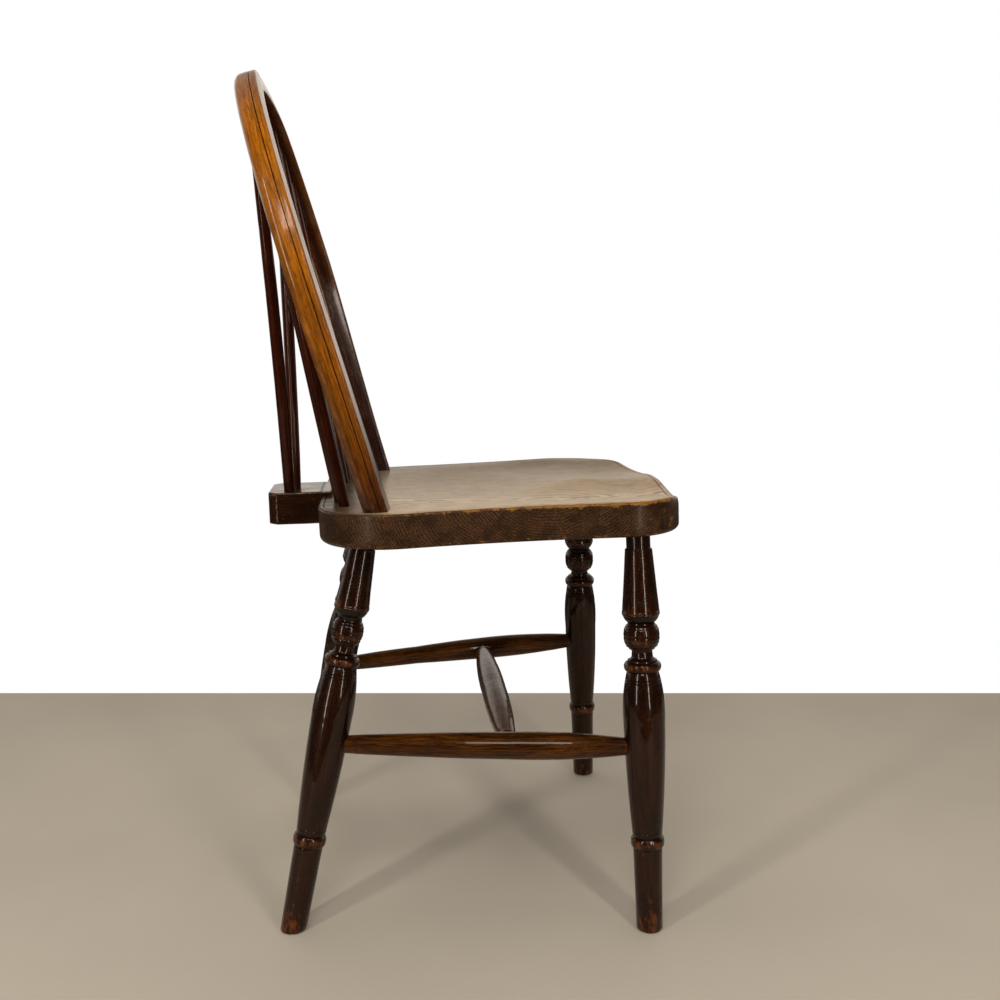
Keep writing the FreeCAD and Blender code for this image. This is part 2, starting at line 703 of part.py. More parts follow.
def make_bow_tenons():
    """Round tenons of the bow, each split from below by its wedge."""
    tenons = []
    for side, sign in SIDES:
        way = vector(sign * math.sin(FLARE), 0, 0) + UP_THE_BOW * math.cos(FLARE)
        foot = vector(sign * FOOT_X, BOW_FOOT_Y, SEAT_TOP)
        through = size("seat_thick") / way.z
        name = "bow_tenon_" + side
        start = foot - way * (through + EMBED)
        rod = rod_tool(name + "_rod", start, way, through + 2 * EMBED, cell("bow_tenon"))
        seat_floor = box_tool(
            name + "_trim", vector(-WIDE, -WIDE, SEAT_UNDER - WIDE), vector(WIDE, WIDE, SEAT_UNDER)
        )
        trimmed = cut(name + "_flush", rod, [seat_floor])
        form = make_wedge_form(name + "_split", foot - way * through, way)
        tenons.append(cut(name, trimmed, [form]))
        wedge = doc.addObject("Part::MultiCommon", "bow_wedge_" + side)
        wedge.Shapes = [trimmed, form]
        wedge.Label = wedge.Name
        parts[wedge.Name] = wedge
        socket_tools["seat"].append(rod_tool(
            name + "_socket",
            foot - way * (through + BEYOND),
            way,
            through + 2 * BEYOND,
            cell("bow_tenon") + " + " + ROOM,
        ))
    return tenons


def splat_outline(body, top):
    """Waisted strap of the splat, from below the seat's top to inside the bow."""
    sketch = new_sketch(body, "splat_strap")
    wheel_join = "Sizes.wheel_width * Sizes.wheel_join"
    side = [
        ("Sizes.splat_foot_width / 2", "-Sizes.splat_thick", "0"),
        ("Sizes.splat_foot_width / 2", "Sizes.splat_thick", "0"),
        ("Sizes.splat_neck_width / 2", cell("lower_neck_rise"), "-Sizes.splat_foot_hollow"),
        (wheel_join, "Sizes.wheel_rise - " + wheel_join, "-Sizes.splat_wheel_hollow"),
        (wheel_join, "Sizes.wheel_rise + " + wheel_join, "0"),
        ("Sizes.splat_neck_width / 2", cell("upper_neck_rise"), "-Sizes.splat_head_hollow"),
        ("Sizes.splat_head_width / 2", str(top), "-Sizes.splat_head_hollow"),
    ]
    other = []
    for index in range(len(side) - 1, -1, -1):
        bulge = side[index + 1][2] if index + 1 < len(side) else "0"
        other.append((mirrored(side[index][0]), side[index][1], bulge))
    draw_loop(sketch, side + other)
    return pad(body, sketch, cell("splat_thick"), midplane=True)


def wheel_sketch(body, name):
    sketch = new_sketch(body, name)
    sketch.setExpression("AttachmentOffset.Base.y", cell("wheel_rise"))
    return sketch


def pierce(body, sketch):
    """Cut a sketch right through the splat."""
    pocket = body.newObject("PartDesign::Pocket", sketch.Name + "_cut")
    pocket.Profile = sketch
    pocket.Midplane = True
    pocket.setExpression("Length", "2 * Sizes.splat_thick")
    sketch.Visibility = False
    return pocket


def add_wheel(body):
    """Round wheel on the strap, pierced between its spokes."""
    disc = wheel_sketch(body, "wheel_disc")
    circle = disc.addGeometry(Part.Circle(vector(0, 0, 0), vector(0, 0, 1), size("wheel_width") / 2))
    disc.addConstraint(Sketcher.Constraint("Coincident", circle, 3, -1, 1))
    tie(disc, "Radius", (circle,), size("wheel_width") / 2, "Sizes.wheel_width / 2")
    pad(body, disc, cell("splat_thick"), midplane=True)

    opening = wheel_sketch(body, "wheel_opening")
    share = "(180 deg / Sizes.spoke_count)"
    inner = "(Sizes.wheel_hub / 2)"
    outer = "(Sizes.wheel_width / 2 - Sizes.wheel_rim)"
    inner_half = "(%s * tan%s - Sizes.spoke_width / 2)" % (inner, share)
    outer_half = "(%s * sin%s - Sizes.spoke_width / 2)" % (outer, share)
    shoulder = "sqrt(%s^2 - %s^2)" % (outer, outer_half)
    draw_loop(opening, [
        (mirrored(inner_half), inner, "0"),
        (inner_half, inner, "0"),
        (outer_half, shoulder, "0"),
        (mirrored(outer_half), shoulder, "%s - %s" % (outer, shoulder)),
    ])
    pocket = pierce(body, opening)
    doc.recompute()
    spokes = body.newObject("PartDesign::PolarPattern", "wheel_spokes")
    spokes.Originals = [pocket]
    spokes.Axis = (opening, ["N_Axis"])
    spokes.Angle = 360
    spokes.setExpression("Occurrences", cell("spoke_count"))
    body.Tip = spokes
    doc.recompute()


def add_teardrop(body, name, middle, point_up):
    """Teardrop piercing, round end at a height, point towards the wheel."""
    sketch = new_sketch(body, name)
    radius = "(Sizes.tear_width / 2)"
    reach = "(Sizes.tear_length - Sizes.tear_width / 2)"
    cosine = "(%s / %s)" % (radius, reach)
    half = "(%s * sqrt(1 - %s^2))" % (radius, cosine)
    sign = "" if point_up else "-"
    lift = "%s %s %s * %s" % (middle, "+" if point_up else "-", radius, cosine)
    tip = "%s %s %s" % (middle, "+" if point_up else "-", reach)
    sagitta = "%s * (1 + %s)" % (radius, cosine)
    draw_loop(sketch, [
        ("0", tip, "0"),
        (("-" if point_up else "") + half, lift, "0"),
        (sign + half, lift, sagitta),
    ])
    pierce(body, sketch)
    doc.recompute()


def make_splat(hoop):
    """Wheel splat, tenoned into the seat and into the crown of the bow."""
    base = vector(0, SEAT_REAR - size("stick_row_inset"), SEAT_TOP)
    crown = bow_place(0, -size("bow_edge") / 2)
    way = (crown - base).normalize()
    length = (crown - base).Length
    body = new_body("wheel_splat_blank")
    splat_outline(body, length + size("bow_edge") / 2)
    add_wheel(body)
    add_teardrop(body, "lower_tear", "Sizes.lower_neck_rise - Sizes.tear_length", True)
    add_teardrop(body, "upper_tear", "Sizes.upper_neck_rise + Sizes.tear_length", False)
    rake = math.degrees(math.atan2(way.z, way.y))
    place = FreeCAD.Placement(base, FreeCAD.Rotation(vector(1, 0, 0), rake))
    body.Placement = place

    seat_level = box_tool(
        "splat_seat_level", vector(-WIDE, -WIDE, SEAT_TOP - WIDE), vector(WIDE, WIDE, SEAT_TOP)
    )
    board = cut("splat_board", body, [seat_level, hoop])

    def tongue(name, bottom, top, room):
        """Flat tenon along the splat between two heights, larger all round by some room."""
        tool = doc.addObject("Part::Box", name)
        extra = " + %r * Sizes.clearance" % (2 * room)
        tool.setExpression("Length", cell("splat_tenon_width") + extra)
        tool.Width = top - bottom
        tool.setExpression("Height", cell("splat_thick") + extra)
        half_width = size("splat_tenon_width") / 2 + room * size("clearance")
        half_thick = size("splat_thick") / 2 + room * size("clearance")
        corner = vector(-half_width, bottom, -half_thick)
        tool.Placement = place.multiply(FreeCAD.Placement(corner, FreeCAD.Rotation()))
        return tool

    room = size("clearance")
    seat_end = -size("splat_seat_tenon")
    bow_end = length + size("splat_bow_tenon")
    tongues = [
        tongue("splat_seat_tongue", seat_end, size("splat_thick"), 0),
        tongue("splat_bow_tongue", length - size("splat_thick"), bow_end, 0),
    ]
    socket_tools["seat"].append(tongue("splat_seat_mortise", seat_end - room, BEYOND, 1))
    socket_tools["bow"].append(tongue("splat_bow_mortise", length - BEYOND, bow_end + room, 1))
    splat = joined("wheel_splat", [board] + tongues)
    splat.Label = "wheel_splat"
    parts["wheel_splat"] = splat


def make_bow(hoop, tenons):
    bored = cut("bow_bored", hoop, socket_tools["bow"])
    bow = joined("bow", [bored] + tenons)
    bow.Label = "bow"
    parts["bow"] = bow


def hollow_tool(name, across, setback, width_alias, length_alias, depth_alias):
    """Flat round form that scoops one hollow out of the seat's top."""
    tool = doc.addObject("Part::Ellipsoid", name)
    tool.Angle1, tool.Angle2, tool.Angle3 = -90, 90, 360
    sink = "(1 - Sizes.%s / Sizes.hollow_roundness)" % depth_alias
    spread = "sqrt(1 - %s^2)" % sink
    tool.setExpression("Radius1", cell("hollow_roundness"))
    tool.setExpression("Radius2", "Sizes.%s / 2 / %s" % (width_alias, spread))
    tool.setExpression("Radius3", "Sizes.%s / 2 / %s" % (length_alias, spread))
    height = SEAT_TOP + size("hollow_roundness") - size(depth_alias)
    tool.Placement.Base = vector(across, FRONT + setback, height)
    return tool


def make_seat():
    """Saddled seat board, bored for everything that stands in it or under it."""
    body = new_body("seat_board")
    outline = new_sketch(body, "seat_outline")
    front_y = "%r + Sizes.seat_front_crown" % FRONT
    rear_y = "%r + Sizes.seat_depth" % FRONT
    draw_loop(outline, [
        ("-Sizes.seat_front_width / 2", front_y, "-Sizes.seat_side_draw"),
        ("Sizes.seat_front_width / 2", front_y, cell("seat_front_crown")),
        ("Sizes.seat_rear_width / 2", rear_y, "-Sizes.seat_side_draw"),
        ("-Sizes.seat_rear_width / 2", rear_y, "0"),
    ])
    pad(body, outline, cell("seat_thick"))
    middle_y = FRONT + size("seat_depth") / 2
    for name, alias, test in (
        ("seat_front_corners", "front_corner_radius", lambda point: point.y < middle_y),
        ("seat_rear_corners", "rear_corner_radius", lambda point: point.y > middle_y),
    ):
        doc.recompute()
        upright = [
            "Edge%d" % number
            for number, edge in enumerate(body.Tip.Shape.Edges, start=1)
            if abs(edge.tangentAt(edge.FirstParameter).z) > 0.99 and test(edge.CenterOfMass)
        ]
        board = body.Tip
        feature = body.newObject("PartDesign::Fillet", name)
        feature.Base = (board, upright)
        feature.setExpression("Radius", cell(alias))
    thick = size("seat_thick")
    round_edges(body, lambda point: at(point.z, thick), cell("seat_top_round"), "seat_top_rounding")
    round_edges(body, lambda point: at(point.z, 0), cell("seat_under_round"), "seat_under_rounding")
    body.Placement.Base = vector(0, 0, SEAT_UNDER)

    tools = [hollow_tool(
        "saddle_hollow", 0, size("saddle_setback"), "saddle_width", "saddle_length", "saddle_depth"
    )]
    for side, sign in SIDES:
        tools.append(hollow_tool(
            "thigh_hollow_" + side, sign * size("thigh_spread") / 2, size("thigh_setback"),
            "thigh_width", "thigh_length", "thigh_depth",
        ))
    parts["seat"] = cut("seat", body, tools + socket_tools["seat"])


def bobtail_tenon(name, room):
    """Flat tenon from the bobtail into the rear edge of the seat."""
    middle = SEAT_TOP - size("seat_thick") / 2
    half_width = size("bobtail_tenon_width") / 2 + room
    half_thick = size("bobtail_tenon_thick") / 2 + room
    low = vector(-half_width, SEAT_REAR - size("bobtail_tenon_length") - room, middle - half_thick)
    high = vector(half_width, SEAT_REAR + EMBED, middle + half_thick)
    return box_tool(name, low, high)


def make_bobtail():
    """Block that stands out behind the seat and carries the brace sticks."""
    body = new_body("bobtail_block")
    outline = new_sketch(body, "bobtail_outline")
    half = "Sizes.bobtail_width / 2"
    front_y, rear_y = repr(SEAT_REAR), repr(BOBTAIL_REAR)
    draw_loop(outline, [
        ("-" + half, front_y, "0"),
        (half, front_y, "0"),
        (half, rear_y + " - Sizes.bobtail_clip", "0"),
        (half + " - Sizes.bobtail_clip", rear_y, "0"),
        ("-%s + Sizes.bobtail_clip" % half, rear_y, "0"),
        ("-" + half, rear_y + " - Sizes.bobtail_clip", "0"),
    ])
    pad(body, outline, cell("seat_thick"))
    thick = size("seat_thick")
    round_edges(
        body,
        lambda point: (at(point.z, thick) or at(point.z, 0)) and not at(point.y, SEAT_REAR),
        cell("bobtail_round"),
        "bobtail_rounding",
    )
    body.Placement.Base = vector(0, 0, SEAT_UNDER)
    block = joined("bobtail_with_tenon", [body, bobtail_tenon("bobtail_tenon", 0)])
    parts["bobtail"] = cut("bobtail", block, socket_tools["bobtail"])
    socket_tools["seat"].append(bobtail_tenon("bobtail_mortise", size("clearance")))


def write_parts():
    """Check every object of the document, then write each piece to its own file."""
    doc.recompute()
    faults = [item.Name for item in doc.Objects if {"Invalid", "Error"} & set(item.State)]
    for name, piece in parts.items():
        shape = piece.Shape
        if shape.isNull() or not shape.isValid() or len(shape.Solids) != 1:
            faults.append("%s (%d solids)" % (name, len(shape.Solids)))
    if faults:
        raise RuntimeError("faulty objects: " + ", ".join(faults))
    os.makedirs("parts", exist_ok=True)
    for name, piece in sorted(parts.items()):
        piece.Shape.exportStep("parts/%s.step" % name)
        print("%-26s %8.1f cm3" % (name, piece.Shape.Volume / 1000))


make_stretchers_and_legs()
make_back_sticks()
make_brace_sticks()
hoop = make_hoop()
tenons = make_bow_tenons()
make_splat(hoop)
make_bow(hoop, tenons)
make_bobtail()
make_seat()
write_parts()
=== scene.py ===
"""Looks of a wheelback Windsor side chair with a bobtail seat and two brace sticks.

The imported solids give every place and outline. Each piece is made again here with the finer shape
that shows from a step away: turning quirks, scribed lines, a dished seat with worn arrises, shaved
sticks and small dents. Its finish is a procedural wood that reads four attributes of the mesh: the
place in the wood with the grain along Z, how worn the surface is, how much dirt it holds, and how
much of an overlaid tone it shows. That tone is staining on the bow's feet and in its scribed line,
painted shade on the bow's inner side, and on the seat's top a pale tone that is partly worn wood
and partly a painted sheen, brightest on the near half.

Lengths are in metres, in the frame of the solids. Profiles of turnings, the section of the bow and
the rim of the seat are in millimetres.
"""

import logging
import math
import random
from dataclasses import dataclass, field, replace
from enum import Enum
from typing import Optional, Sequence, Union

import bmesh
import bpy
from mathutils import Matrix, Vector, noise


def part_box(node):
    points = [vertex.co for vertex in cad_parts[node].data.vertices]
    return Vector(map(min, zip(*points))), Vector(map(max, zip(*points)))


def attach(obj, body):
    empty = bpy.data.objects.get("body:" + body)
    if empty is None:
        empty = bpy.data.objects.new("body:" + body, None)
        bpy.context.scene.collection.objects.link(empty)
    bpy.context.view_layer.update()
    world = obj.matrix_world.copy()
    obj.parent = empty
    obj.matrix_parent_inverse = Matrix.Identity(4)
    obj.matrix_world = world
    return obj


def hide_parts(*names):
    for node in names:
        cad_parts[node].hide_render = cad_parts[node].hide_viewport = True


LOG = logging.getLogger("chair")
MM = 0.001
GRAIN = "wood_place"
WORN = "worn"
DIRT = "dirt"
STAIN_SHADE_SHEEN = "stain"
LENGTH = "length"
SMOOTH_BELOW = math.radians(38)

Mesh = bmesh.types.BMesh
Vert = bmesh.types.BMVert
Edge = bmesh.types.BMEdge
Tree = bpy.types.NodeTree
Socket = bpy.types.NodeSocket
Outputs = bpy.types.NodeOutputs
Place = tuple[float, float, float]
Colour = tuple[float, float, float, float]
Value = Union[float, Sequence[float], Socket]

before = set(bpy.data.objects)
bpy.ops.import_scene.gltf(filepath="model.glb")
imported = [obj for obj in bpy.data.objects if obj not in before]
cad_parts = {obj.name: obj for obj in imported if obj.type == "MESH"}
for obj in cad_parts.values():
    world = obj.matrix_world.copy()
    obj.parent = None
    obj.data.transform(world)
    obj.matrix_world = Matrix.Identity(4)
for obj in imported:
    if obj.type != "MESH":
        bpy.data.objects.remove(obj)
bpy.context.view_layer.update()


def held(value: float, low: float = 0.0, high: float = 1.0) -> float:
    """Return a value held between two limits."""
    return min(high, max(low, value))


def eased(value: float) -> float:
    """Return a smooth step of a value that runs from 0 to 1."""
    share = held(value)
    return share * share * (3 - 2 * share)


def arched(value: float) -> float:
    """Return an arch that is 0 at both ends of a value from 0 to 1, and 1 in the middle."""
    share = held(value)
    return 4 * share * (1 - share)


def uneven(x: float, y: float, z: float) -> float:
    """Return a smooth random height between -1 and 1."""
    return noise.noise(Vector((x, y, z)))


def whole(bm: Mesh) -> list:
    """Return everything in a mesh, as the cutting operator wants it."""
    return bm.verts[:] + bm.edges[:] + bm.faces[:]


def of_kind(items: Sequence, kind: type) -> list:
    """Return the items that are of one kind."""
    return [item for item in items if isinstance(item, kind)]


def ring_edges(bm: Mesh, ring: Sequence[Vert]) -> list[Edge]:
    """Return the edges of a closed ring of vertices, made where they are missing."""
    return [bm.edges.get(pair) or bm.edges.new(pair) for pair in zip(ring, ring[1:] + ring[:1])]


def bevel(bm: Mesh, edges: Sequence[Edge], width: float, segments: int) -> None:
    """Bevel edges of a mesh.

    Args:
        bm: The mesh.
        edges: The edges to bevel.
        width: How wide the bevel is.
        segments: How many faces it has across.
    """
    bmesh.ops.bevel(
        bm, geom=edges, offset=width, affect="EDGES", segments=segments, profile=0.5, material=-1
    )


def block(size: Sequence[float], middle: Vector) -> Mesh:
    """Make a rectangular block.

    Args:
        size: Its lengths along X, Y and Z.
        middle: Where its middle goes.

    Returns:
        The new mesh.
    """
    bm = bmesh.new()
    bmesh.ops.create_cube(bm, size=1.0)
    bmesh.ops.scale(bm, vec=size, verts=bm.verts)
    bmesh.ops.translate(bm, vec=middle, verts=bm.verts)
    return bm


def stand(bm: Mesh, foot: Vector, way: Vector, spin: float = 0.0) -> None:
    """Move a form from its own Z axis to a foot and a way in the chair.

    Args:
        bm: The form.
        foot: Where its origin goes.
        way: Where its Z axis points.
        spin: Turn about its own axis, in radians.
    """
    turn = way.normalized().to_track_quat("Z", "Y").to_matrix().to_4x4()
    matrix = Matrix.Translation(foot) @ turn @ Matrix.Rotation(spin, 4, "Z")
    bmesh.ops.transform(bm, matrix=matrix, verts=bm.verts)


def add_object(name: str, data: bpy.types.ID) -> bpy.types.Object:
    """Put a new object in the scene.

    Args:
        name: Its name.
        data: The mesh, light or camera that it shows.

    Returns:
        The object.
    """
    item = bpy.data.objects.new(name, data)
    bpy.context.scene.collection.objects.link(item)
    return item


class Side(Enum):
    """Side of the chair; the value is its sign along X."""

    RIGHT = -1
    LEFT = 1

    @property
    def word(self) -> str:
        """Return the side's word in a node name."""
        return self.name.lower()


class Row(Enum):
    """Pair of legs; the value is its word in a node name."""

    FRONT = "front"
    REAR = "rear"


class Slot(Enum):
    """Material slots of the record."""

    BOW = "honey_ash"
    SPLAT = "dark_ash"
    STICK = "stick_brown"
    SEAT = "elm_board"
    BOBTAIL = "elm_block"
    LEG = "turned_black"
    STRETCHER = "turned_brown"


class Blend(Enum):
    """How the overlaid tone, painted shade and sheen included, joins the wood; the value is the mix's mode.
    """

    DARKEN = "MULTIPLY"
    COVER = "MIX"


@dataclass(frozen=True)
class ChairPlan:
    """Driving sizes that the solids share, in metres and degrees.

    The last rows are those of this one chair: its seat rises towards the front about tilt_pivot,
    and the left shoulder of its bow has sprung forward by bow_twist.
    """

    front: float
    seat_height: float = 0.450
    seat_thick: float = 0.037
    seat_depth: float = 0.391
    bobtail_reach: float = 0.059
    bobtail_width: float = 0.082
    bow_foot_setback: float = 0.329
    bow_foot_spread: float = 0.322
    bow_rise: float = 0.458
    bow_radius: float = 0.200
    bow_lean: float = 15.1
    bow_face: float = 0.026
    bow_edge: float = 0.022
    seat_tilt: float = 1.25
    tilt_pivot: float = 0.018
    bow_twist: float = 0.004
    twist_start: float = 0.02
    twist_rise: float = 0.26
    twist_reach: float = 0.11

    @property
    def seat_under(self) -> float:
        """Return the height of the seat's underside."""
        return self.seat_height - self.seat_thick

    @property
    def seat_rear(self) -> float:
        """Return the place of the seat's rear edge along Y."""
        return self.front + self.seat_depth

    @property
    def seat_middle(self) -> float:
        """Return the place of the seat's middle along Y."""
        return self.front + self.seat_depth / 2

    @property
    def bow_foot_y(self) -> float:
        """Return the place of the bow's feet along Y."""
        return self.front + self.bow_foot_setback

    @property
    def arc_rise(self) -> float:
        """Return the height of the round top's centre above the seat, along the bow."""
        return self.bow_rise - self.bow_radius

    @property
    def flare(self) -> float:
        """Work out the angle by which each side of the bow spreads upwards.

        Returns:
            The angle in radians.
        """
        half = self.bow_foot_spread / 2
        reach = math.hypot(half, self.arc_rise)
        return math.asin(self.bow_radius / reach) - math.atan(half / self.arc_rise)

    def bow_frame(self) -> Matrix:
        """Return the matrix that stands the flat drawing of the bow on the seat at its lean."""
        turn = Matrix.Rotation(math.radians(90 - self.bow_lean), 4, "X")
        return Matrix.Translation((0, self.bow_foot_y, self.seat_height)) @ turn

    def on_bow(self, angle: float) -> Vector:
        """Return a point on the middle line of the round top.

        Args:
            angle: Degrees from the crown, positive towards +X.

        Returns:
            The point in the frame of the solids.
        """
        turn = math.radians(angle)
        across, rise = self.bow_radius * math.sin(turn), self.bow_radius * math.cos(turn)
        return self.sprung(self.bow_frame() @ Vector((across, self.arc_rise + rise, 0)))

    def sprung(self, place: Vector) -> Vector:
        """Return a place on the bow after its left shoulder has sprung a little forward.

        Args:
            place: The place on an even bow.

        Returns:
            The place on this one.
        """
        rise = eased((place.z - self.seat_height - self.twist_start) / self.twist_rise)
        reach = eased(place.x / self.twist_reach)
        return place - Vector((0, self.bow_twist * rise * reach, 0))

    def tilted(self, place: Vector) -> Vector:
        """Return a place on the level board as it lies once the board rises towards the front."""
        pivot = Vector((0, self.tilt_pivot, self.seat_height))
        return pivot + Matrix.Rotation(-math.radians(self.seat_tilt), 3, "X") @ (place - pivot)


PLAN = ChairPlan(front=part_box("seat")[0].y)


class Wiring:
    """Adds shader nodes to a tree and joins them."""

    def __init__(self, tree: Tree) -> None:
        """Keep the tree that is wired."""
        self.tree = tree

    def add(self, kind: str, inputs: Optional[dict] = None, **settings: object) -> bpy.types.Node:
        """Add a node.

        Args:
            kind: Identifier of the node's type.
            inputs: Values or sockets for its inputs, by name or number.
            **settings: Properties of the node.

        Returns:
            The new node.
        """
        node = self.tree.nodes.new(kind)
        for key, value in settings.items():
            setattr(node, key, value)
        for key, value in (inputs or {}).items():
            if isinstance(value, Socket):
                self.tree.links.new(value, node.inputs[key])
            else:
                node.inputs[key].default_value = value
        return node

    def maths(self, operation: str, *values: Value) -> Socket:
        """Return the result of a Math node on one to three values or sockets."""
        return self.add("ShaderNodeMath", dict(enumerate(values)), operation=operation).outputs[0]

    def vector(self, operation: str, *values: Value, output: int = 0, **inputs: Value) -> Socket:
        """Return a result of a Vector Math node, whose other inputs go by name."""
        given = {**dict(enumerate(values)), **inputs}
        return self.add("ShaderNodeVectorMath", given, operation=operation).outputs[output]

    def between(
        self, value: Value, low: float, high: float, start: float = 0.0, end: float = 1.0
    ) -> Socket:
        """Return a smooth step of a value from one range to another."""
        inputs = {0: value, 1: low, 2: high, 3: start, 4: end}
        return self.add("ShaderNodeMapRange", inputs, interpolation_type="SMOOTHSTEP").outputs[0]

    def total(self, *parts: tuple[Value, float]) -> Socket:
        """Add up values.

        Args:
            *parts: Each value with the share by which it is multiplied.

        Returns:
            The sum.
        """
        added, *others = (self.maths("MULTIPLY", value, share) for value, share in parts)
        for part in others:
            added = self.maths("ADD", added, part)
        return added

    def swing(self, value: Value, amount: float) -> Socket:
        """Return how far a cloud is from its middle, times an amount."""
        return self.maths("MULTIPLY", self.maths("SUBTRACT", value, 0.5), amount)

    def cloud(
        self, place: Value, scale: Union[float, Place], detail: float = 3.0, rough: float = 0.55
    ) -> Socket:
        """Return the value of a noise.

        Args:
            place: Where it is read.
            scale: Its scale, or one for each axis.
            detail: How many finer noises it has.
            rough: How strong these are.

        Returns:
            A value between 0 and 1.
        """
        if not isinstance(scale, float):
            place = self.vector("MULTIPLY", place, scale)
            scale = 1.0
        inputs = {"Vector": place, "Scale": scale, "Detail": detail, "Roughness": rough}
        return self.add("ShaderNodeTexNoise", inputs).outputs[0]

    def drift(self, place: Value, scale: Place) -> Socket:
        """Draw a random vector about nought that changes slowly with the place.

        Args:
            place: Where it is read.
            scale: How quickly it changes along each axis.

        Returns:
            The vector's socket.
        """
        slow = self.vector("MULTIPLY", place, scale)
        sway = self.add("ShaderNodeTexNoise", {"Vector": slow, "Scale": 1.0, "Detail": 2.0}).outputs[1]
        return self.vector("SUBTRACT", sway, (0.5, 0.5, 0.5))

    def blend(self, share: Value, first: Value, second: Value, how: Blend = Blend.COVER) -> Socket:
        """Return a mix of two colours."""
        inputs = {0: share, 6: first, 7: second}
        return self.add("ShaderNodeMix", inputs, data_type="RGBA", blend_type=how.value).outputs[2]

    def layered(self, colour: Value, *coats: tuple[Value, Value]) -> Socket:
        """Lay coats over a colour.

        Args:
            colour: The colour underneath.
            *coats: Each coat as (share, colour), from below.

        Returns:
            The colour seen from above.
        """
        for share, coat in coats:
            colour = self.blend(share, colour, coat)
        return colour

    def attribute(self, name: str, part: str = "Fac") -> Socket:
        """Return one output of a mesh attribute."""
        return self.add("ShaderNodeAttribute", attribute_name=name).outputs[part]


class Group(Wiring):
    """Shader node group that puts out values."""

    def __init__(self, name: str, inputs: dict) -> None:
        """Start the group.

        Args:
            name: Its name.
            inputs: Default value of each input; None makes a vector input.
        """
        super().__init__(bpy.data.node_groups.new(name, "ShaderNodeTree"))
        for label, default in inputs.items():
            kind = "NodeSocketVector" if default is None else "NodeSocketFloat"
            socket = self.tree.interface.new_socket(name=label, in_out="INPUT", socket_type=kind)
            if default is not None:
                socket.default_value = default
        self.given = self.add("NodeGroupInput").outputs

    def give(self, drawn: dict[str, Socket]) -> Tree:
        """Put out values.

        Args:
            drawn: Each value by its name.

        Returns:
            The finished group.
        """
        result = self.add("NodeGroupOutput")
        for label, socket in drawn.items():
            self.tree.interface.new_socket(name=label, in_out="OUTPUT", socket_type="NodeSocketFloat")
            self.tree.links.new(socket, result.inputs[label])
        return self.tree


def figure_group() -> Tree:
    """Build the group that draws rings, fibres, pores and mottle of wood.

    Returns:
        A group whose grain runs along Z of its Place input, with the heart of the tree on that axis.
    """
    w = Group("wood_figure", {"Place": None, "Ring Width": 0.003, "Wander": 0.003})
    place = w.given["Place"]
    ripple = w.vector("SCALE", w.drift(place, (30.0, 30.0, 22.0)), Scale=0.35)
    shift = w.vector("ADD", w.drift(place, (9.0, 9.0, 5.0)), ripple)
    shift = w.vector("SCALE", shift, Scale=w.maths("MULTIPLY", w.given["Wander"], 4.0))
    moved = w.vector("ADD", place, shift)
    reach = w.vector("LENGTH", w.vector("MULTIPLY", moved, (1.0, 1.0, 0.0)), output=1)
    count = w.maths("DIVIDE", reach, w.given["Ring Width"])
    phase = w.maths("FRACT", w.total((count, 1.0), (w.cloud(moved, (60.0, 60.0, 1.0), 1.0), 1.6)))
    late_wood = w.between(phase, 0.35, 0.86)
    ring_end = w.between(phase, 0.9, 1.0, 1.0, 0.0)
    return w.give({
        "Rings": w.maths("MULTIPLY", late_wood, ring_end),
        "Fibres": w.cloud(moved, (640.0, 640.0, 42.0), 4.0, 0.68),
        "Pores": w.between(w.cloud(moved, (1000.0, 1000.0, 110.0), 2.0), 0.6, 0.7),
        "Mottle": w.cloud(place, (60.0, 60.0, 16.0)),
    })


def handling_group() -> Tree:
    """Build the group that draws wear, dirt, scratches and unevenness of a handled surface.

    Returns:
        A group with masks for wear and dirt, heights for marks and for the ridges that turning leaves,
        and a smudge for the gloss.
    """
    w = Group("handling", {"Place": None, "Worn": 0.0, "Dirt": 0.0})
    place = w.given["Place"]
    patch = w.swing(w.cloud(place, (160.0, 160.0, 70.0), 4.0, 0.62), 2.6)
    silt = w.swing(w.cloud(place, 260.0), 0.9)
    polish = w.cloud(place, 420.0, 2.0)
    ripple = w.cloud(place, (230.0, 230.0, 90.0), 2.0)
    scratch = w.between(w.cloud(place, (2300.0, 700.0, 90.0), 2.0, 0.7), 0.68, 0.76, 0.0, -0.5)
    return w.give({
        "Wear": w.between(w.maths("ADD", w.given["Worn"], patch), 0.55, 1.15),
        "Grime": w.between(w.maths("ADD", w.given["Dirt"], silt), 0.3, 0.95),
        "Marks": w.total((polish, 0.35), (ripple, 0.85), (scratch, 1.0)),
        "Ridges": w.cloud(place, (110.0, 110.0, 430.0), 2.0),
        "Smudge": w.cloud(place, 55.0, 4.0),
    })


def tone(red: float, green: float, blue: float) -> Colour:
    """Return an opaque linear colour."""
    return (red, green, blue, 1.0)


def shaded(colour: Colour, times: float) -> Colour:
    """Return a colour made darker or brighter."""
    return tone(*(min(1.0, channel * times) for channel in colour[:3]))


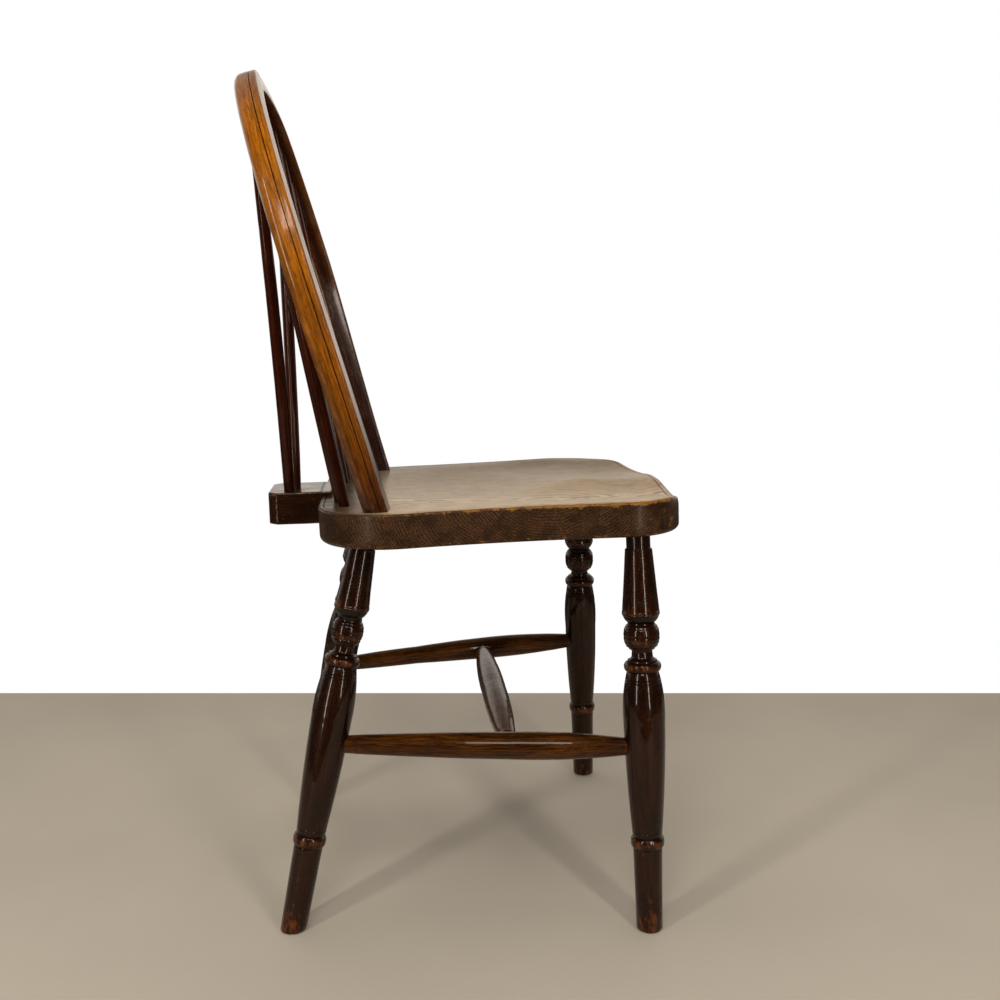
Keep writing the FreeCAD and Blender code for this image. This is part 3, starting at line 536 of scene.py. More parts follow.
@dataclass(frozen=True)
class WoodFinish:
    """Stained and polished wood of one group of pieces.

    The early and late tones are those of a ring's pale and dark wood, the rubbed tone shows on worn
    arrises, and the grime tone in quirks and corners. The overlaid tone comes in where the attribute
    says, but rings and dark fibres keep it out by the share stain_shade_sheen_broken. It is staining on
    the bow's feet, painted shade on the bow's inner side, and a pale top tone with a painted sheen on
    the seat. The gloss runs from the roughness of the best polish to that of the dullest, and warmth
    tints it. Ring width, wander and relief are in metres, and turning is how much of a lathe's ridges
    shows.
    """

    name: str
    early: Colour
    late: Colour
    rubbed: Colour
    grime: Colour
    stain_shade_sheen_tone: Colour = (0.22, 0.14, 0.2, 1.0)
    stain_shade_sheen_how: Blend = Blend.DARKEN
    stain_shade_sheen_share: float = 1.0
    stain_shade_sheen_broken: float = 0.0
    ring_width: float = 0.003
    wander: float = 0.003
    ring_share: float = 0.6
    fibre_share: float = 0.5
    pore_share: float = 0.5
    mottle_share: float = 0.5
    wear_share: float = 0.8
    grime_share: float = 0.9
    deepest: float = 0.45
    brightest: float = 1.7
    even_fibre: float = 0.52
    dark_fibre: float = 0.34
    pale_fibre: float = 0.72
    gloss: tuple[float, float] = (0.24, 0.42)
    warmth: Colour = (1.0, 0.58, 0.34, 1.0)
    specular: float = 0.14
    coat: float = 0.14
    coat_rough: float = 0.06
    relief: float = 0.00022
    turning: float = 0.0

    def build(self, figure: Tree, handling: Tree) -> bpy.types.Material:
        """Build the material.

        Args:
            figure: Group that draws the wood's figure.
            handling: Group that draws its wear.

        Returns:
            The finished material.
        """
        material = bpy.data.materials.new(self.name)
        material.use_nodes = True
        material.node_tree.nodes.clear()
        w = Wiring(material.node_tree)
        place = w.attribute(GRAIN, "Vector")
        grown = {"Place": place, "Ring Width": self.ring_width, "Wander": self.wander}
        wood = w.add("ShaderNodeGroup", grown, node_tree=figure).outputs
        used = {"Place": place, "Worn": w.attribute(WORN), "Dirt": w.attribute(DIRT)}
        worn = w.add("ShaderNodeGroup", used, node_tree=handling).outputs
        height = w.total(
            (worn["Marks"], 1.0), (wood["Fibres"], 0.28), (wood["Pores"], -0.3), (wood["Rings"], -0.1),
            (worn["Ridges"], self.turning),
        )
        bump = w.add("ShaderNodeBump", {"Strength": 0.9, "Distance": self.relief, "Height": height})
        polish = w.between(worn["Smudge"], 0.3, 0.7, *self.gloss)
        shader = w.add("ShaderNodeBsdfPrincipled", {
            "Base Color": self.colour(w, wood, worn),
            "Roughness": w.total((polish, 1.0), (worn["Grime"], 0.25), (wood["Rings"], 0.05)),
            "Normal": bump.outputs[0],
            "IOR": 1.5,
            "Specular IOR Level": self.specular,
            "Specular Tint": self.warmth,
            "Coat Weight": self.coat,
            "Coat Roughness": self.coat_rough,
        })
        w.add("ShaderNodeOutputMaterial", {"Surface": shader.outputs[0]})
        return material

    def colour(self, w: Wiring, wood: Outputs, worn: Outputs) -> Socket:
        """Wire the colour: the figure, then the overlaid tone with its painted shade and sheen, then wear
        and dirt.

        Args:
            w: Wiring of the material.
            wood: Outputs of the figure group, by name.
            worn: Outputs of the handling group, by name.

        Returns:
            The colour's socket.
        """
        deep = shaded(self.late, self.deepest)
        bright = shaded(self.early, self.brightest)
        fibres = wood["Fibres"]
        dark_streak = w.between(fibres, self.even_fibre, self.dark_fibre, 0.0, self.fibre_share)
        pale_streak = w.between(fibres, self.even_fibre, self.pale_fibre, 0.0, self.fibre_share)
        figured = w.layered(
            self.early,
            (w.maths("MULTIPLY", wood["Rings"], self.ring_share), self.late),
            (dark_streak, deep),
            (pale_streak, bright),
            (w.between(wood["Mottle"], 0.62, 0.36, 0.0, self.mottle_share), deep),
            (w.maths("MULTIPLY", wood["Pores"], self.pore_share), self.grime),
        )
        # The overlaid tone is staining on the bow's feet, painted shade on the bow's inner side, and a pale
        # top tone with a painted sheen on the seat.
        tinted = w.blend(self.stain_shade_sheen_share, figured, self.stain_shade_sheen_tone, self.stain_shade_sheen_how)
        broken = w.maths("MULTIPLY", w.maths("ADD", wood["Rings"], dark_streak), self.stain_shade_sheen_broken)
        taken = w.maths("MULTIPLY", w.attribute(STAIN_SHADE_SHEEN), w.maths("SUBTRACT", 1.0, broken))
        bare = w.blend(w.between(fibres, 0.4, 0.62, 0.0, 0.6), self.rubbed, self.early)
        return w.layered(
            figured,
            (taken, tinted),
            (w.maths("MULTIPLY", worn["Wear"], self.wear_share), bare),
            (w.maths("MULTIPLY", worn["Grime"], self.grime_share), self.grime),
        )


FINISHES = {
    # The bow's dark overlaid tone is staining on its feet and painted shade on its inner side.
    Slot.BOW: WoodFinish(
        "bow_honey_ash", early=tone(0.33, 0.096, 0.002), late=tone(0.17, 0.044, 0.001),
        rubbed=tone(0.5, 0.24, 0.05), grime=tone(0.014, 0.004, 0.001), stain_shade_sheen_tone=tone(0.09, 0.03, 0.1),
        ring_width=0.0046, wander=0.0012, ring_share=0.4, fibre_share=0.7, pore_share=0.7, wear_share=0.15,
        gloss=(0.16, 0.26), warmth=tone(1.0, 0.8, 0.6), specular=0.3, coat=0.4, coat_rough=0.1,
        relief=0.00014,
    ),
    Slot.SPLAT: WoodFinish(
        "splat_dark_ash", early=tone(0.06, 0.019, 0.005), late=tone(0.024, 0.007, 0.002),
        rubbed=tone(0.2, 0.085, 0.028), grime=tone(0.004, 0.0015, 0.001), ring_width=0.004, wander=0.002,
    ),
    Slot.STICK: WoodFinish(
        "stick_red_brown", early=tone(0.05, 0.0075, 0.0012), late=tone(0.014, 0.002, 0.0006),
        rubbed=tone(0.2, 0.075, 0.026), grime=tone(0.003, 0.001, 0.0005), wander=0.001, wear_share=0.35,
        gloss=(0.18, 0.3), coat=0.22,
    ),
    # The seat's pale top tone is partly worn wood and partly a painted sheen of the bright surround.
    Slot.SEAT: WoodFinish(
        "seat_elm", early=tone(0.064, 0.027, 0.01), late=tone(0.01, 0.0045, 0.003),
        rubbed=tone(0.3, 0.125, 0.016), grime=tone(0.006, 0.003, 0.002), stain_shade_sheen_tone=tone(0.66, 0.45, 0.24),
        stain_shade_sheen_how=Blend.COVER, stain_shade_sheen_share=0.78, stain_shade_sheen_broken=0.5, ring_width=0.0028, wander=0.0066,
        ring_share=0.85, fibre_share=0.8, pore_share=0.7, mottle_share=0.55, wear_share=0.9,
        gloss=(0.28, 0.34), warmth=tone(1.0, 0.72, 0.5), specular=0.22, coat=0.05, coat_rough=0.16,
        relief=0.00024,
    ),
    Slot.BOBTAIL: WoodFinish(
        "bobtail_elm", early=tone(0.02, 0.005, 0.001), late=tone(0.006, 0.0015, 0.0004),
        rubbed=tone(0.24, 0.1, 0.04), grime=tone(0.003, 0.001, 0.0005), gloss=(0.18, 0.28),
        specular=0.25, coat=0.3,
    ),
    Slot.LEG: WoodFinish(
        "leg_near_black", early=tone(0.017, 0.0036, 0.0006), late=tone(0.005, 0.001, 0.0002),
        rubbed=tone(0.17, 0.045, 0.005), grime=tone(0.001, 0.0005, 0.0002), ring_width=0.0034,
        wander=0.0022, mottle_share=0.6, wear_share=0.6, gloss=(0.16, 0.28), coat=0.42, relief=0.00034,
        turning=0.9,
    ),
    Slot.STRETCHER: WoodFinish(
        "stretcher_brown", early=tone(0.075, 0.022, 0.002), late=tone(0.015, 0.0035, 0.0006),
        rubbed=tone(0.24, 0.09, 0.016), grime=tone(0.002, 0.001, 0.0005), ring_width=0.0032,
        wander=0.0024, fibre_share=0.85, wear_share=0.5, gloss=(0.16, 0.28), specular=0.1, coat=0.34,
        relief=0.00024, turning=0.9,
    ),
}


class Layers:
    """The four attributes that a finish reads, on one mesh."""

    def __init__(self, bm: Mesh) -> None:
        """Find or add the layers.

        Args:
            bm: The mesh that holds them.
        """
        floats = bm.verts.layers.float
        vectors = bm.verts.layers.float_vector
        self.grain = vectors.get(GRAIN) or vectors.new(GRAIN)
        self.worn = floats.get(WORN) or floats.new(WORN)
        self.dirt = floats.get(DIRT) or floats.new(DIRT)
        # Share of the overlaid tone: staining, with painted shade on the bow's inner side and a painted
        # sheen on the seat's top.
        self.stain = floats.get(STAIN_SHADE_SHEEN) or floats.new(STAIN_SHADE_SHEEN)


class Workshop:
    """Holds the materials and turns each finished mesh into a piece of the chair."""

    def __init__(self) -> None:
        """Build the shared groups and every finish."""
        figure, handling = figure_group(), handling_group()
        self.materials = {slot: finish.build(figure, handling) for slot, finish in FINISHES.items()}

    def finish(
        self, name: str, bm: Mesh, slot: Slot, nodes: Sequence[str], outward: bool = True
    ) -> bpy.types.Object:
        """Make a piece from a mesh and let it stand for its solid.

        Args:
            name: The piece's name.
            bm: Its shape, in place; it is freed.
            slot: Its material slot.
            nodes: Solids that it replaces.
            outward: Whether its normals are worked out again.

        Returns:
            The new object.
        """
        bmesh.ops.remove_doubles(bm, verts=bm.verts, dist=0.002 * MM)
        if outward:
            bmesh.ops.recalc_face_normals(bm, faces=bm.faces)
        mesh = bpy.data.meshes.new(name)
        bm.to_mesh(mesh)
        bm.free()
        mesh.polygons.foreach_set("use_smooth", [True] * len(mesh.polygons))
        mesh.set_sharp_from_angle(angle=SMOOTH_BELOW)
        mesh.materials.append(self.materials[slot])
        piece = add_object(name, mesh)
        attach(piece, "root")
        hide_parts(*nodes)
        LOG.info("%s: %d faces", name, len(mesh.polygons))
        return piece


@dataclass(frozen=True)
class Station:
    """One place on a turned profile, in millimetres; the bulge is that of the arc from below."""

    height: float
    width: float
    bulge: float = 0.0
    worn: float = 0.0
    dirt: float = 0.0

    @property
    def rim(self) -> Vector:
        """Return the place as (radius, height)."""
        return Vector((self.width / 2, self.height))


@dataclass(frozen=True)
class ProfilePoint:
    """Point of a profile that is ready to be spun, in millimetres."""

    radius: float
    height: float
    worn: float = 0.0
    dirt: float = 0.0


@dataclass(frozen=True)
class ScribedLine:
    """Fine line cut round a turned piece, in millimetres; the cut is its depth across its width."""

    height: float
    width: float = 1.1
    depth: float = 0.45
    cut: Sequence[tuple[float, float]] = ((0.0, 0.0), (0.3, 0.8), (0.5, 1.0), (0.7, 0.8), (1.0, 0.0))

    def scribed(self, points: Sequence[ProfilePoint]) -> list[ProfilePoint]:
        """Cut the line into a profile.

        Args:
            points: The profile, from below.

        Returns:
            The profile with the line.
        """
        low, high = self.height - self.width / 2, self.height + self.width / 2
        kept = []
        for before, after in zip(points, [*points[1:], None]):
            if not low < before.height < high:
                kept.append(before)
            if after is None or not before.height <= low < after.height:
                continue
            slope = (after.radius - before.radius) / max(after.height - before.height, 1e-6)
            for place, depth in self.cut:
                height = low + place * self.width
                radius = before.radius + slope * (height - before.height) - depth * self.depth
                kept.append(ProfilePoint(radius, height, before.worn, max(before.dirt, depth)))
        return kept


@dataclass(frozen=True)
class Dent:
    """Small dent in a turned piece, in metres."""

    way: Vector
    height: float
    reach: float
    depth: float

    def at(self, out: Vector, radius: float, height: float) -> float:
        """Return how deep the dent is at a place.

        Args:
            out: Direction of the place from the piece's axis.
            radius: Its distance from the axis.
            height: Its height.

        Returns:
            The depth, which is nought outside the dent.
        """
        if abs(height - self.height) > self.reach:
            return 0.0
        away = math.hypot(height - self.height, (out - self.way).length * radius)
        return self.depth * (1 - min(1.0, away / self.reach) ** 2) ** 2


def arc_points(start: Vector, end: Vector, bulge: float, step: float) -> list[Vector]:
    """Divide a line or an arc.

    Args:
        start: First point, as (radius, height).
        end: Last point.
        bulge: How far the arc swells outwards; nought for a line.
        step: Longest distance between two points.

    Returns:
        The points after the start, the end included.
    """
    chord = end - start
    count = max(1, math.ceil(chord.length / step))
    if abs(bulge) < 1e-6:
        return [start + chord * (i / count) for i in range(1, count + 1)]
    count = max(count, 5)
    half = math.atan(2 * abs(bulge) / chord.length) * 2
    radius = chord.length / (2 * math.sin(half))
    out = Vector((chord.y, -chord.x)).normalized() * math.copysign(1.0, bulge)
    centre = (start + end) / 2 - out * (radius * math.cos(half))
    first, last = start - centre, end - centre
    turn = math.copysign(2 * half, first.x * last.y - first.y * last.x)
    points = []
    for i in range(1, count + 1):
        cos, sin = math.cos(turn * i / count), math.sin(turn * i / count)
        points.append(centre + Vector((first.x * cos - first.y * sin, first.x * sin + first.y * cos)))
    return points


@dataclass
class TurnedForm:
    """A form turned about its own Z axis, with its quirks, tool marks and dents.

    Sizes are in millimetres; the mesh that it gives is in metres.
    """

    stations: Sequence[Station]
    lines: Sequence[ScribedLine] = ()
    segments: int = 72
    step: float = 2.2
    seed: int = 1
    unevenness: float = 0.16
    dents: int = 0
    dent_reach: tuple[float, float] = (1.2, 3.4)
    dent_depth: tuple[float, float] = (0.15, 0.55)
    heart: tuple[float, float] = (34.0, 12.0)

    def points(self) -> list[ProfilePoint]:
        """Work out the whole profile, scribed lines included.

        Returns:
            Its points from below, the first and the last on the axis.
        """
        first, last = self.stations[0], self.stations[-1]
        made = [ProfilePoint(0.0, first.height)]
        made.append(ProfilePoint(first.width / 2, first.height, first.worn, first.dirt))
        for before, after in zip(self.stations, self.stations[1:]):
            run = arc_points(before.rim, after.rim, after.bulge, self.step)
            for i, point in enumerate(run, start=1):
                share = i / len(run)
                worn = before.worn + (after.worn - before.worn) * share
                dirt = before.dirt + (after.dirt - before.dirt) * share
                made.append(ProfilePoint(point.x, point.y, worn, dirt))
        made.append(ProfilePoint(0.0, last.height))
        for line in self.lines:
            made = line.scribed(made)
        return made

    def make(self) -> Mesh:
        """Spin the profile.

        Returns:
            The turned form, closed at both ends, standing on its own axis.
        """
        bm = bmesh.new()
        layers = Layers(bm)
        chain = []
        for point in self.points():
            vert = bm.verts.new((point.radius * MM, 0.0, point.height * MM))
            vert[layers.worn], vert[layers.dirt] = point.worn, point.dirt
            chain.append(vert)
        edges = [bm.edges.new(pair) for pair in zip(chain, chain[1:])]
        bmesh.ops.spin(
            bm, geom=chain + edges, cent=(0, 0, 0), axis=(0, 0, 1), angle=2 * math.pi,
            steps=self.segments, use_merge=True,
        )
        bmesh.ops.remove_doubles(bm, verts=bm.verts, dist=0.005 * MM)
        self.weather(bm, layers)
        return bm

    def scatter(self) -> list[Dent]:
        """Draw the dents by the form's own seed.

        Returns:
            The dents, spread over the whole form.
        """
        dice = random.Random(self.seed)
        low, top = self.stations[0].height * MM, self.stations[-1].height * MM
        made = []
        for _ in range(self.dents):
            turn = dice.uniform(0, 2 * math.pi)
            height = dice.uniform(low, top)
            reach = dice.uniform(*self.dent_reach) * MM
            depth = dice.uniform(*self.dent_depth) * MM
            made.append(Dent(Vector((math.cos(turn), math.sin(turn), 0)), height, reach, depth))
        return made

    def weather(self, bm: Mesh, layers: Layers) -> None:
        """Set the place in the wood, then make the surface slightly uneven and dented.

        Args:
            bm: The turned form.
            layers: Its attributes.
        """
        dents = self.scatter()
        heart = Vector((self.heart[0] * MM, self.heart[1] * MM, self.seed * 0.61))
        for vert in bm.verts:
            x, y, z = vert.co
            vert[layers.grain] = vert.co + heart
            radius = math.hypot(x, y)
            if radius < 1e-6:
                continue
            out = Vector((x, y, 0)) / radius
            slow = uneven(x * 22, y * 22, z * 9 + self.seed * 7.3)
            quick = uneven(x * 90, y * 90, z * 60 + self.seed * 3.1)
            shift = (slow + 0.35 * quick) * self.unevenness * MM
            shift -= sum(dent.at(out, radius, z) for dent in dents)
            vert.co += out * min(shift, radius * 0.1)


@dataclass(frozen=True)
class LegPlace:
    """Where a pair of legs stands, in millimetres; setbacks are from the seat's front."""

    foot_spread: float
    top_spread: float
    foot_setback: float
    top_setback: float


@dataclass(frozen=True)
class LegTouch:
    """How one leg differs from its fellows, as hand turning leaves it, in millimetres.

    The first rows lift a part of the turning, squat shortens the ball, the widths and the vase add
    to their part, bend bows the whole leg forward, and back moves its top to the rear.
    """

    lower_ring: float = 0.0
    ring: float = 0.0
    ball: float = 0.0
    cone: float = 0.0
    squat: float = 0.0
    vase: float = 0.0
    ball_width: float = 0.0
    cone_width: float = 0.0
    bend: float = 0.0
    back: float = 0.0

    def moved(self, height: float) -> float:
        """Find where this leg has a height of the pattern.

        Args:
            height: Height on the pattern.

        Returns:
            The height on this leg.
        """
        half = self.squat / 2
        marks = (
            (-10.0, 0.0), (60.0, 0.0), (90.0, self.lower_ring), (104.0, self.lower_ring), (200.0, 0.0),
            (272.0, self.ring), (289.0, self.ring), (296.0, (self.ring + self.ball) / 2),
            (302.0, self.ball + half), (330.1, self.ball - half),
            (331.2, self.cone), (346.0, self.cone), (400.0, 0.0), (500.0, 0.0),
        )
        for (low, first), (high, last) in zip(marks, marks[1:]):
            if low <= height <= high:
                return height + first + (last - first) * (height - low) / (high - low)
        return height


@dataclass
class Legs:
    """Four turned legs, raked and splayed, each cut level on the floor."""

    shop: Workshop
    foot_round: float = 3.0
    foot_steps: Sequence[float] = (1.0, 0.62, 0.34, 0.14, 0.03)
    shoulder: float = 11.0
    lines: Sequence[ScribedLine] = (ScribedLine(269.0), ScribedLine(266.0), ScribedLine(107.5, 0.8, 0.3))
    places: dict[Row, LegPlace] = field(default_factory=lambda: {
        Row.FRONT: LegPlace(foot_spread=422, top_spread=346, foot_setback=57, top_setback=62),
        Row.REAR: LegPlace(foot_spread=328, top_spread=236, foot_setback=433, top_setback=343),
    })
    touches: dict[tuple[Row, Side], LegTouch] = field(default_factory=lambda: {
        (Row.FRONT, Side.RIGHT): LegTouch(
            lower_ring=-2.0, ring=-2.6, ball=-3.8, cone=-5.6, squat=1.6, vase=0.6, bend=1.0, back=-1.0
        ),
        (Row.FRONT, Side.LEFT): LegTouch(
            lower_ring=5.6, ring=3.4, ball=0.6, vase=-2.0, cone_width=-1.8, back=5.2
        ),
        (Row.REAR, Side.RIGHT): LegTouch(ring=2.5, ball=0.2, squat=4.5, ball_width=-3.0, cone_width=-1.8),
        (Row.REAR, Side.LEFT): LegTouch(lower_ring=1.0, ring=0.8, ball=-0.6),
    })

    def line(self, row: Row, side: Side) -> tuple[Vector, Vector]:
        """Find a leg's middle line.

        Args:
            row: Front or rear.
            side: Side of the chair.

        Returns:
            Its foot and its point at the seat's underside.
        """
        at = self.places[row]
        half = side.value * MM / 2
        setback = at.top_setback + self.touches[row, side].back
        foot = Vector((half * at.foot_spread, PLAN.front + at.foot_setback * MM, 0.0))
        return foot, Vector((half * at.top_spread, PLAN.front + setback * MM, PLAN.seat_under))

    def point(self, row: Row, side: Side, height: float) -> Vector:
        """Return the point of a leg's middle line at a height in metres."""
        foot, top = self.line(row, side)
        return foot + (top - foot) * (height / PLAN.seat_under)

    @staticmethod
    def pattern(touch: LegTouch) -> tuple[tuple[float, ...], ...]:
        """List the turning from the floor up to the cone.

        Args:
            touch: How this leg differs from its fellows.

        Returns:
            The fields of each station, whose heights are still those of the pattern.
        """
        ball, cone = touch.ball_width, touch.cone_width
        foot = ((-8, 27.2, 0, 0.5, 0.1), (2, 27.5, 0, 0.9, 0.1), (30, 28.4, 0, 0.4, 0))
        lower_ring = (
            (88.6, 30.5, 0, 0.2, 0.2), (89.4, 30.2, 0, 0, 1.0), (90.2, 31.4, 0, 0.1, 0.6),
            (92.2, 34.0, 0.2, 0.6, 0), (96, 34.8, 0.3, 0.9, 0), (99.6, 34.0, 0.3, 0.6, 0),
            (101.4, 31.6, 0.2, 0.1, 0.6), (102.4, 30.1, 0, 0, 1.0), (103.4, 30.9, 0, 0.1, 0.4),
        )
        vase = ((222, 43.0 + touch.vase, 1.1, 0.25, 0), (275.4, 33.8, 1.9, 0.1, 0.1))
        ring = (
            (276.6, 32.6, 0, 0, 1.0), (277.4, 34.6, 0, 0.1, 0.5), (279.8, 37.9, 0.4, 0.6, 0),
            (282.2, 38.6, 0.2, 0.9, 0), (285.2, 37.0, 0.4, 0.6, 0), (286.8, 33.4, 0.3, 0.1, 0.5),
        )
        neck = (
            (287.2, 31.0, 0, 0, 1.0), (287.8, 30.8, 0, 0.4, 0.3), (289.0, 30.4, 0, 0.5, 0.1),
            (289.4, 28.6, 0, 0, 0.9), (294.6, 22.0, -1.1, 0.15, 0.4), (296.6, 21.6, 0, 0.2, 0.3),
            (299.8, 22.2, -0.2, 0, 0.7), (300.4, 25.4, 0, 0, 0.9), (300.9, 27.0, 0, 0.4, 0.3),
            (302.2, 27.6, 0, 0.4, 0.1),
        )
        barrel = (
            (302.5, 28.2, 0, 0, 1.0), (305.8, 33.6 + ball, 0.8, 0.5, 0), (309.8, 36.3 + ball, 0.4, 0.7, 0),
            (314.8, 37.0 + ball, 0.3, 0.3, 0), (320.0, 36.5 + ball, 0.3, 0.2, 0),
            (324.8, 33.6 + ball, 0.5, 0.25, 0), (327.8, 29.4 + ball / 2, 0.5, 0.1, 0.3),
            (328.2, 28.0 + ball / 2, 0, 0, 1.0), (329.6, 27.7 + ball / 2, 0, 0.5, 0.1),
            (330.0, 26.4 + ball / 2, 0, 0, 1.0),
        )
        cup = (
            (331.2, 28.2 + cone, 0, 0, 1.0), (338.6, 37.8 + cone, 0.7, 0.0, 0.9),
            (339.4, 38.8 + cone, 0.1, 0.5, 0.3), (340.6, 39.0 + cone, 0.2, 0.9, 0),
            (343.0, 38.6 + cone, 0.3, 0.6, 0), (358, 35.8 + cone, 0.1, 0.15, 0),
        )
        return foot + lower_ring + vase + ring + neck + barrel + cup

    def stations(self, stretch: float, seat_along: float, touch: LegTouch) -> list[Station]:
        """Work out the profile of a leg.

        Args:
            stretch: Length along the leg for each unit of height.
            seat_along: Length along the leg to the seat's underside.
            touch: How this leg differs from the pattern.

        Returns:
            Stations from below the floor to inside the seat.
        """
        turned = [Station(touch.moved(height) * stretch, *rest) for height, *rest in self.pattern(touch)]
        shoulder = seat_along - self.shoulder
        return turned + [
            Station(shoulder - 1.2, 28.2, 0, 0.25, 0), Station(shoulder - 0.2, 27.4, 0.2, 0.7, 0.1),
            Station(shoulder, 25.4, 0, 0.1, 0.8), Station(shoulder + 1, 24.9, 0, 0.1, 0.5),
            Station(seat_along - 1, 24.9, 0, 0.35, 0.5), Station(seat_along + 12, 24.8, 0, 0, 1.0),
        ]

    def cut_level(self, bm: Mesh, foot: Vector) -> None:
        """Cut a leg off at the floor and round the rim of its foot.

        Args:
            bm: The leg, in place.
            foot: Middle of its foot.
        """
        radius = self.foot_round * MM
        for share in self.foot_steps:
            level = (0, 0, radius * share)
            bmesh.ops.bisect_plane(bm, geom=whole(bm), plane_co=level, plane_no=(0, 0, 1))
        done = bmesh.ops.bisect_plane(
            bm, geom=whole(bm), plane_co=(0, 0, 0), plane_no=(0, 0, 1), clear_inner=True
        )
        bmesh.ops.contextual_create(bm, geom=of_kind(done["geom_cut"], Edge))
        for vert in bm.verts:
            if vert.co.z >= radius:
                continue
            inward = radius - math.sqrt(max(0.0, radius ** 2 - (radius - vert.co.z) ** 2))
            across = Vector((vert.co.x - foot.x, vert.co.y - foot.y, 0))
            vert.co -= across.normalized() * inward

    def build_leg(self, row: Row, side: Side, seed: int) -> None:
        """Build one leg and dress it.

        Args:
            row: Front or rear.
            side: Side of the chair.
            seed: Seed of its wear.
        """
        foot, top = self.line(row, side)
        stretch = (top - foot).length / PLAN.seat_under
        touch = self.touches[row, side]
        bm = TurnedForm(
            self.stations(stretch, (top - foot).length / MM, touch),
            lines=[replace(line, height=touch.moved(line.height) * stretch) for line in self.lines],
            seed=seed, dents=26, unevenness=0.2, heart=(26.0 - 5 * seed, 18.0),
        ).make()
        stand(bm, foot, top - foot, spin=seed * 1.3)
        for vert in bm.verts:
            vert.co.y -= touch.bend * MM * arched(vert.co.z / PLAN.seat_under)
        self.cut_level(bm, foot)
        name = "leg_%s_%s" % (row.value, side.word)
        self.shop.finish("turned_" + name, bm, Slot.LEG, [name])

    def build(self) -> None:
        """Build all four legs."""
        corners = [(row, side) for row in Row for side in Side]
        for seed, (row, side) in enumerate(corners, start=1):
            self.build_leg(row, side, seed)


@dataclass(frozen=True)
class StretcherTouch:
    """How one side stretcher differs from the pattern.

    Its belly is slimmer, and flatter half-way from there to the rear leg, in millimetres; its front
    end is lifted and its middle arched up, in metres.
    """

    slimmer: float = 0.0
    flatter: float = 0.0
    front_lift: float = 0.0
    arch: float = 0.0


@dataclass
class Stretchers:
    """Two side stretchers and the cross stretcher between them."""

    shop: Workshop
    legs: Legs
    rise: float = 0.196
    end_width: float = 18.4
    end_reach: float = 12.0
    belly_width: float = 28.6
    belly_place: float = 0.42
    fullness: float = 1.6
    cross_belly: float = 29.5
    cross_end: float = 19.0
    cross_shoulder: float = 16.4
    cross_tenon: float = 13.6
    touches: dict[Side, StretcherTouch] = field(default_factory=lambda: {
        Side.RIGHT: StretcherTouch(front_lift=-0.0016),
        Side.LEFT: StretcherTouch(slimmer=0.8, flatter=3.0, front_lift=0.0042, arch=0.0024),
    })

    def side_stretcher(self, side: Side, seed: int) -> Vector:
        """Build one side stretcher.

        Args:
            side: Its side of the chair.
            seed: Seed of its wear.

        Returns:
            The middle of its belly.
        """
        touch = self.touches[side]
        front = self.legs.point(Row.FRONT, side, self.rise + touch.front_lift)
        rear = self.legs.point(Row.REAR, side, self.rise)
        way = (rear - front).normalized()
        length = (rear - front).length / MM
        belly = length * self.belly_place
        end, reach = self.end_width, self.end_reach
        half_way = belly + (length - reach - belly) / 2
        half_width = (self.belly_width + end) / 2 + self.fullness - touch.flatter
        bm = TurnedForm(
            (
                Station(reach, end), Station(22, end + 0.2, 0, 0.1, 0.6),
                Station(belly, self.belly_width - touch.slimmer, 2.2 - touch.slimmer / 4, 0.35),
                Station(half_way, half_width, 0.4, 0.2), Station(length - 22, end + 0.3, 0.5, 0.1, 0.5),
                Station(length - reach, end, 0, 0, 1.0),
            ),
            segments=56, step=3.4, seed=seed, unevenness=0.34, dents=18, heart=(21.0, 9.0),
        ).make()
        stand(bm, front, way, spin=seed * 0.7)
        for vert in bm.verts:
            vert.co.z += touch.arch * arched((vert.co.y - front.y) / (rear.y - front.y))
        name = "side_stretcher_" + side.word
        self.shop.finish("turned_" + name, bm, Slot.STRETCHER, [name])
        return front + way * belly * MM + Vector((0, 0, touch.arch))

    def cross_stretcher(self, start: Vector, end: Vector, seed: int) -> None:
        """Build the cross stretcher.

        Args:
            start: Middle of the right stretcher's belly.
            end: Middle of the left stretcher's belly.
            seed: Seed of its wear.
        """
        near = self.belly_width / 2
        length = (end - start).length / MM
        far = length - near
        tenon, shoulder, neck = self.cross_tenon, self.cross_shoulder, self.cross_end
        bm = TurnedForm(
            (
                Station(near - 4, tenon), Station(near + 1.0, tenon, 0, 0, 0.9),
                Station(near + 2.4, shoulder, 0.3, 0.4, 0.4), Station(near + 9, neck, 0.5, 0.2),
                Station(length / 2, self.cross_belly, 1.9, 0.3), Station(far - 9, neck, 1.9, 0.2),
                Station(far - 2.4, shoulder, 0.5, 0.4, 0.4), Station(far - 1.0, tenon, 0.3, 0, 0.9),
                Station(far + 4, tenon),
            ),
            segments=56, step=3.4, seed=seed, unevenness=0.3, dents=14, heart=(23.0, 5.0),
        ).make()
        stand(bm, start, end - start)
        self.shop.finish("turned_cross_stretcher", bm, Slot.STRETCHER, ["cross_stretcher"])

    def build(self) -> None:
        """Build all three stretchers."""
        bellies = [self.side_stretcher(side, seed) for seed, side in enumerate(Side, start=11)]
        self.cross_stretcher(*bellies, seed=13)


@dataclass(frozen=True)
class BraceTouch:
    """How one brace stick stands: its shift to the rear, its angle on the bow, its bend forward."""

    shift: float
    angle: float
    bend: float


